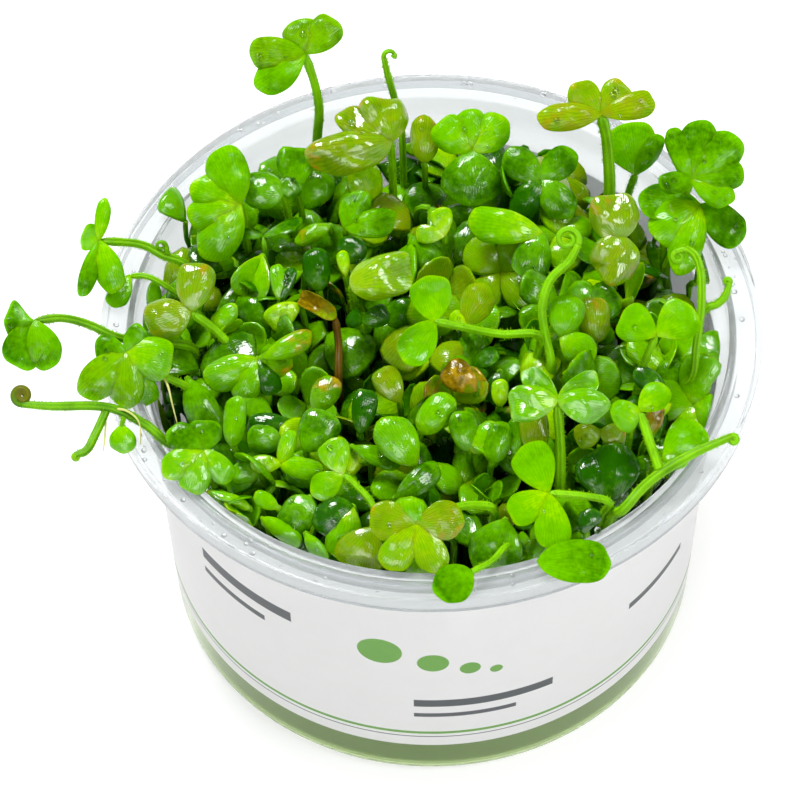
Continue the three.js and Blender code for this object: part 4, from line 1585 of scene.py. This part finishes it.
        def add(leaflets: Leaflets, paths: Array, fineness: tuple[int, int], shade: float) -> None:
            """Shares leaflets and stems out among the clumps.

            Args:
                leaflets: The leaflets.
                paths: The stems' lines (n, k, 3).
                fineness: Rings of a leaflet and points in a ring.
                shade: The stems' shade mark; a layer's is lower the deeper it lies, as painted shade.
            """
            where, rooted = self.clump_of(leaflets.base), self.clump_of(paths[:, -1])
            for k in range(len(names)):
                if (where == k).any():
                    leaves[k].append(leaflets.chosen(where == k).shell(*fineness))
                if (rooted == k).any():
                    chosen = paths[rooted == k]
                    radii = np.full(chosen.shape[:2], self.stem_radius)
                    stems[k].append(tubes(chosen, radii, self.stem_sides, shade))

        for layer in self.layers:
            leaflets, lines = self.plantlets(layer, pressed, rng)
            # Each layer's stems take its shade mark, painted shade that deepens with the layer.
            add(leaflets, smooth_path(lines, self.stem_steps), (layer.rings, layer.around), layer.shade)
        low = Leaflets.together([frond.leaflets(rng) for frond in LOW_FRONDS])
        paths = np.stack([frond.stalk_path(12) for frond in LOW_FRONDS])
        add(low, paths, (self.low_rings, self.low_around), 0.6)
        for k, name in enumerate(names):
            foliage, stalks = joined(leaves[k]), joined(stems[k])
            foliage.points, stalks.points = self.squeezed(foliage.points), self.squeezed(stalks.points)
            put_piece("leaves_" + name, foliage, leaf, ("clump_" + name,))
            put_piece("stems_" + name, stalks, stalk)


@dataclass
class Droplets:
    """Small water drops on leaves and on the flange.

    Each leaflet offers as many places as tries, of which those that face up by more than upward count. A
    drop's height is a share of its width, leaf_height or rim_height.
    """

    tries: int = 6
    upward: float = 0.3
    on_leaves: int = 90
    leaf_radii: tuple[float, float] = (0.2, 0.55)
    leaf_height: float = 0.7
    on_rim: int = 80
    rim_radii: tuple[float, float] = (0.15, 0.5)
    rim_height: float = 0.6
    rim_reach: tuple[float, float] = (46.4, 49.2)
    sides: int = 12
    rings: int = 7

    def balls(self, centres: Array, axes: Array, radii: Array, flat: float) -> Shell:
        """Flattened balls: point = centre + radius (sin p (cos a x + sin a y) + flat cos p axis).

        Args:
            centres: Centres (n, 3).
            axes: Directions that they are flattened along (n, 3).
            radii: Radii (n,).
            flat: Height as a share of the width.

        Returns:
            Closed balls.
        """
        side = unit(np.cross(axes, (0.31, 0.77, 0.56)))
        other = np.cross(axes, side)
        turn = 2 * np.pi * np.arange(self.sides) / self.sides
        down = np.pi * np.arange(1, self.rings) / self.rings
        ring = np.cos(turn)[:, None] * side[:, None] + np.sin(turn)[:, None] * other[:, None]
        size = radii[:, None, None, None]
        grid = size * (np.sin(down)[:, None, None] * ring[:, None]
                       + flat * np.cos(down)[:, None, None] * axes[:, None, None])
        poles = np.stack([axes, -axes], 1) * radii[:, None, None] * flat
        points = np.concatenate([grid.reshape(len(radii), -1, 3), poles], 1) + centres[:, None]
        return Shell.copies(points, *tube_faces(self.rings - 1, self.sides, flipped=True))

    def build(self) -> None:
        """Makes the drops on the leaves and those on the flange."""
        rng = np.random.default_rng(SEED + 2)
        water = WaterFinish().material()
        seeded = np.random.default_rng(SEED)
        blades = Leaflets.together([frond.leaflets(seeded) for frond in FRONDS + LOW_FRONDS])
        share, turn = rng.uniform(0.05, 0.7, self.tries), rng.uniform(-2.4, 2.4, self.tries)
        here = blades.surface(share, turn)
        side = blades.surface(share, turn + 0.05) - here
        out = unit(np.cross(blades.surface(share + 0.02, turn) - here, side))
        half = blades.thickness[:, None] / 2 * np.sqrt(1 - share**2)
        spots, axes = (here + out * half[..., None]).reshape(-1, 3), out.reshape(-1, 3)
        chosen = rng.choice(np.flatnonzero(axes[:, 2] > self.upward), self.on_leaves, replace=False)
        radii = rng.uniform(*self.leaf_radii, self.on_leaves)
        centres = spots[chosen] + axes[chosen] * radii[:, None] * 0.2
        drops = self.balls(centres, axes[chosen], radii, self.leaf_height)
        put_piece("drops_on_leaves", drops, water)
        angle, reach = rng.uniform(0, 2 * np.pi, self.on_rim), rng.uniform(*self.rim_reach, self.on_rim)
        radii = rng.uniform(*self.rim_radii, self.on_rim)
        places = about_axis(reach, angle, TUB_HEIGHT - GROOVE_DEPTH + radii * 0.25)
        up = np.broadcast_to(np.array([0.0, 0.0, 1.0]), places.shape)
        drops = self.balls(places, up, radii, self.rim_height)
        put_piece("drops_on_flange", drops, water)


# The tub and what is in and on it


@dataclass
class Tub:
    """The clear tub, its label and its gel."""

    segments: int = 256
    base: float = 1.0
    flange: float = 0.9
    seal_radius: float = 46.6
    gel_gap: float = 0.3
    label_gap: float = 0.03
    label_thick: float = 0.2
    label_overlap: float = 0.09
    label_middle: float = 30.0

    def build(self) -> None:
        """Makes the tub, the label and the gel."""
        under, skirt = TUB_HEIGHT - self.flange, TUB_HEIGHT - SKIRT_DROP
        seat, lip = FLANGE_INNER + WALL, FLANGE_RADIUS - self.flange
        corner, wall_end = outer_wall(CORNER), outer_wall(SEAT_BOTTOM)
        line = [
            (0, 0, 0), (corner, 0, CORNER), (wall_end, SEAT_BOTTOM, 0.8), (seat, SEAT_TOP, 0.8),
            (seat, under, 0.5), (lip, under, 0.3), (lip, skirt, 0.15), (FLANGE_RADIUS, skirt, 0.15),
            (FLANGE_RADIUS, TUB_HEIGHT - 0.05, 0.5), (GROOVE_RADIUS, TUB_HEIGHT - GROOVE_DEPTH, 0.1),
            (self.seal_radius, TUB_HEIGHT, 0.1), (FLANGE_INNER, TUB_HEIGHT, 0.5),
            (FLANGE_INNER, SEAT_TOP + WALL, 0.8),
            (wall_end - WALL, SEAT_BOTTOM + WALL, 0.8), (corner - WALL, self.base, CORNER - WALL),
            (0, self.base, 0),
        ]
        tub = turned(rounded(line), self.segments)
        put_piece("clear_tub", tub, ClearFinish().material(), ("tub",), crease=50)
        low, gap = self.base + self.gel_gap, self.gel_gap
        line = [(0, low, 0), (corner - WALL - gap, low, 2.0),
                (inner_wall(GEL_TOP) - gap, GEL_TOP - 0.1, 0.4), (0, GEL_TOP - 0.4, 0)]
        gel = turned(rounded(line), self.segments)
        put_piece("jelly", gel, GelFinish().material(), ("gel",), crease=50)
        self.label()

    def label(self) -> None:
        """Makes the label: a thin strip once round the wall, whose end laps over its start at the back."""
        count = self.segments + 1
        lap = self.label_overlap
        angle = np.linspace(np.pi / 2, np.pi / 2 + 2 * np.pi + lap, count)
        past = np.clip((angle - np.pi / 2 - 2 * np.pi + lap * 0.4) / (lap * 0.4), 0, 1)
        lifted = self.label_thick * past**2 * (3 - 2 * past)
        low, high, inner = LABEL_BOTTOM, LABEL_TOP, self.label_gap
        outer = inner + self.label_thick * 0.8
        out, z = np.array([(inner, low), (outer, low), (outer, high), (inner, high)]).T
        loops = about_axis(outer_wall(z) + out + lifted[:, None], angle[:, None], z)
        last = 4 * count - 1
        quads = np.concatenate([tube_faces(count, 4, flipped=True)[0], [[0, 1, 2, 3], last - np.arange(4)]])
        around = (angle - 1.5 * np.pi) * outer_wall(self.label_middle)
        uv = np.stack([np.repeat(around, 4), np.tile([low, low, high, high], count)], -1)
        shell = Shell(loops.reshape(-1, 3), quads, uv=uv)
        put_piece("paper_label", shell, LabelFinish().material(), ("label",), crease=40)


@dataclass
class Studio:
    """A pale floor that curves up at its edge, soft lights and the camera."""

    sweep: tuple[tuple[float, float], ...] = ((0.3, 0), (1.3, 0), (1.6, 0.06), (1.85, 0.3), (1.95, 0.8))
    lens: float = 225.0
    sensor: float = 36.0
    place: Point = (0.0, -0.45754, 0.66076)
    right: Point = (1.0, -0.0011, -0.0086)
    up: Point = (0.0060, 0.8039, 0.5947)
    back: Point = (0.0063, -0.5948, 0.8039)
    aim: Point = (0, 0, 0.05)
    sky: float = 0.06
    floor_sides: int = 96
    floor_shades: tuple = ((0.5, 0.5, 0.5, 1.0), (0.54, 0.54, 0.54, 1.0))
    floor_glow: float = 0.66
    lamps: tuple = (
        ("key", (-0.2, 0.26, 0.8), 0.27, 7.8), ("fill", (0.42, -0.3, 0.7), 0.3, 2.6),
        ("front", (-0.1, -0.8, 0.5), 0.5, 2.6),
    )

    def build(self) -> None:
        """Makes the floor, the world, the lamps and the camera."""
        reach, z = np.array(self.sweep).T[..., None]
        points = about_axis(reach, circle(self.floor_sides), z).reshape(-1, 3)
        quads = tube_faces(len(self.sweep), self.floor_sides, flipped=True)[0]
        mesh = bpy.data.meshes.new("floor")
        mesh.from_pydata(points.tolist(), [], [list(range(self.floor_sides)), *quads.tolist()])
        t = Tree("pale_floor")
        mesh.materials.append(t.finish({
            "Base Color": t.mix(t.noise(8.0), *self.floor_shades), "Roughness": 0.9,
            "Specular IOR Level": 0.0, "Emission Color": (1, 1, 1, 1), "Emission Strength": self.floor_glow,
        }))
        self.placed("floor", mesh)
        world = bpy.data.worlds.new("studio")
        bpy.context.scene.world = world
        world.use_nodes = True
        sky = world.node_tree.nodes["Background"]
        sky.inputs["Color"].default_value = (1, 1, 1, 1)
        sky.inputs["Strength"].default_value = self.sky
        for lamp in self.lamps:
            self.lamp(*lamp)
        self.camera()

    def placed(self, name: str, data: bpy.types.ID, columns: list | None = None) -> bpy.types.Object:
        """Adds an object to the scene, with its axes and place as the columns of its matrix.

        Args:
            name: Its name.
            data: Its mesh, light or camera.
            columns: Side, up, back and place, or nothing for an object that stays at the origin.

        Returns:
            The object.
        """
        made = bpy.data.objects.new(name, data)
        if columns is not None:
            made.matrix_world = Matrix(np.vstack([np.stack(columns, 1), [0, 0, 0, 1]]).tolist())
        bpy.context.scene.collection.objects.link(made)
        return made

    def lamp(self, name: str, place: Point, size: float, power: float) -> None:
        """A square soft lamp aimed at the tub.

        Args:
            name: Its name.
            place: Its place in metres.
            size: Its side in metres.
            power: Its power in watts.
        """
        light = bpy.data.lights.new(name, "AREA")
        light.shape = "SQUARE"
        light.size = size
        light.energy = power
        back = unit(np.array(place) - self.aim)
        side = unit(np.cross((0, 0, 1), back))
        self.placed(name, light, [side, np.cross(back, side), back, place])

    def camera(self) -> None:
        """The camera, fitted to the tub's round edges in the photograph."""
        data = bpy.data.cameras.new("camera")
        data.lens = self.lens
        data.sensor_width = self.sensor
        data.clip_start, data.clip_end = 0.05, 20
        lens = [self.right, self.up, self.back, self.place]
        bpy.context.scene.camera = self.placed("camera", data, lens)


def main() -> None:
    """Loads the frame and builds the pieces in order."""
    logging.basicConfig(level=logging.INFO, format="%(message)s")
    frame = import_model()
    bpy.context.scene.view_settings.view_transform = "Standard"
    Studio().build()
    Tub().build()
    leaf, stalk = LeafFinish().material(), StalkFinish().material()
    Fronds().build(leaf, stalk, set(frame["nodes"]))
    Crown().build(leaf, stalk)
    Droplets().build()


if __name__ == "__main__":
    main()
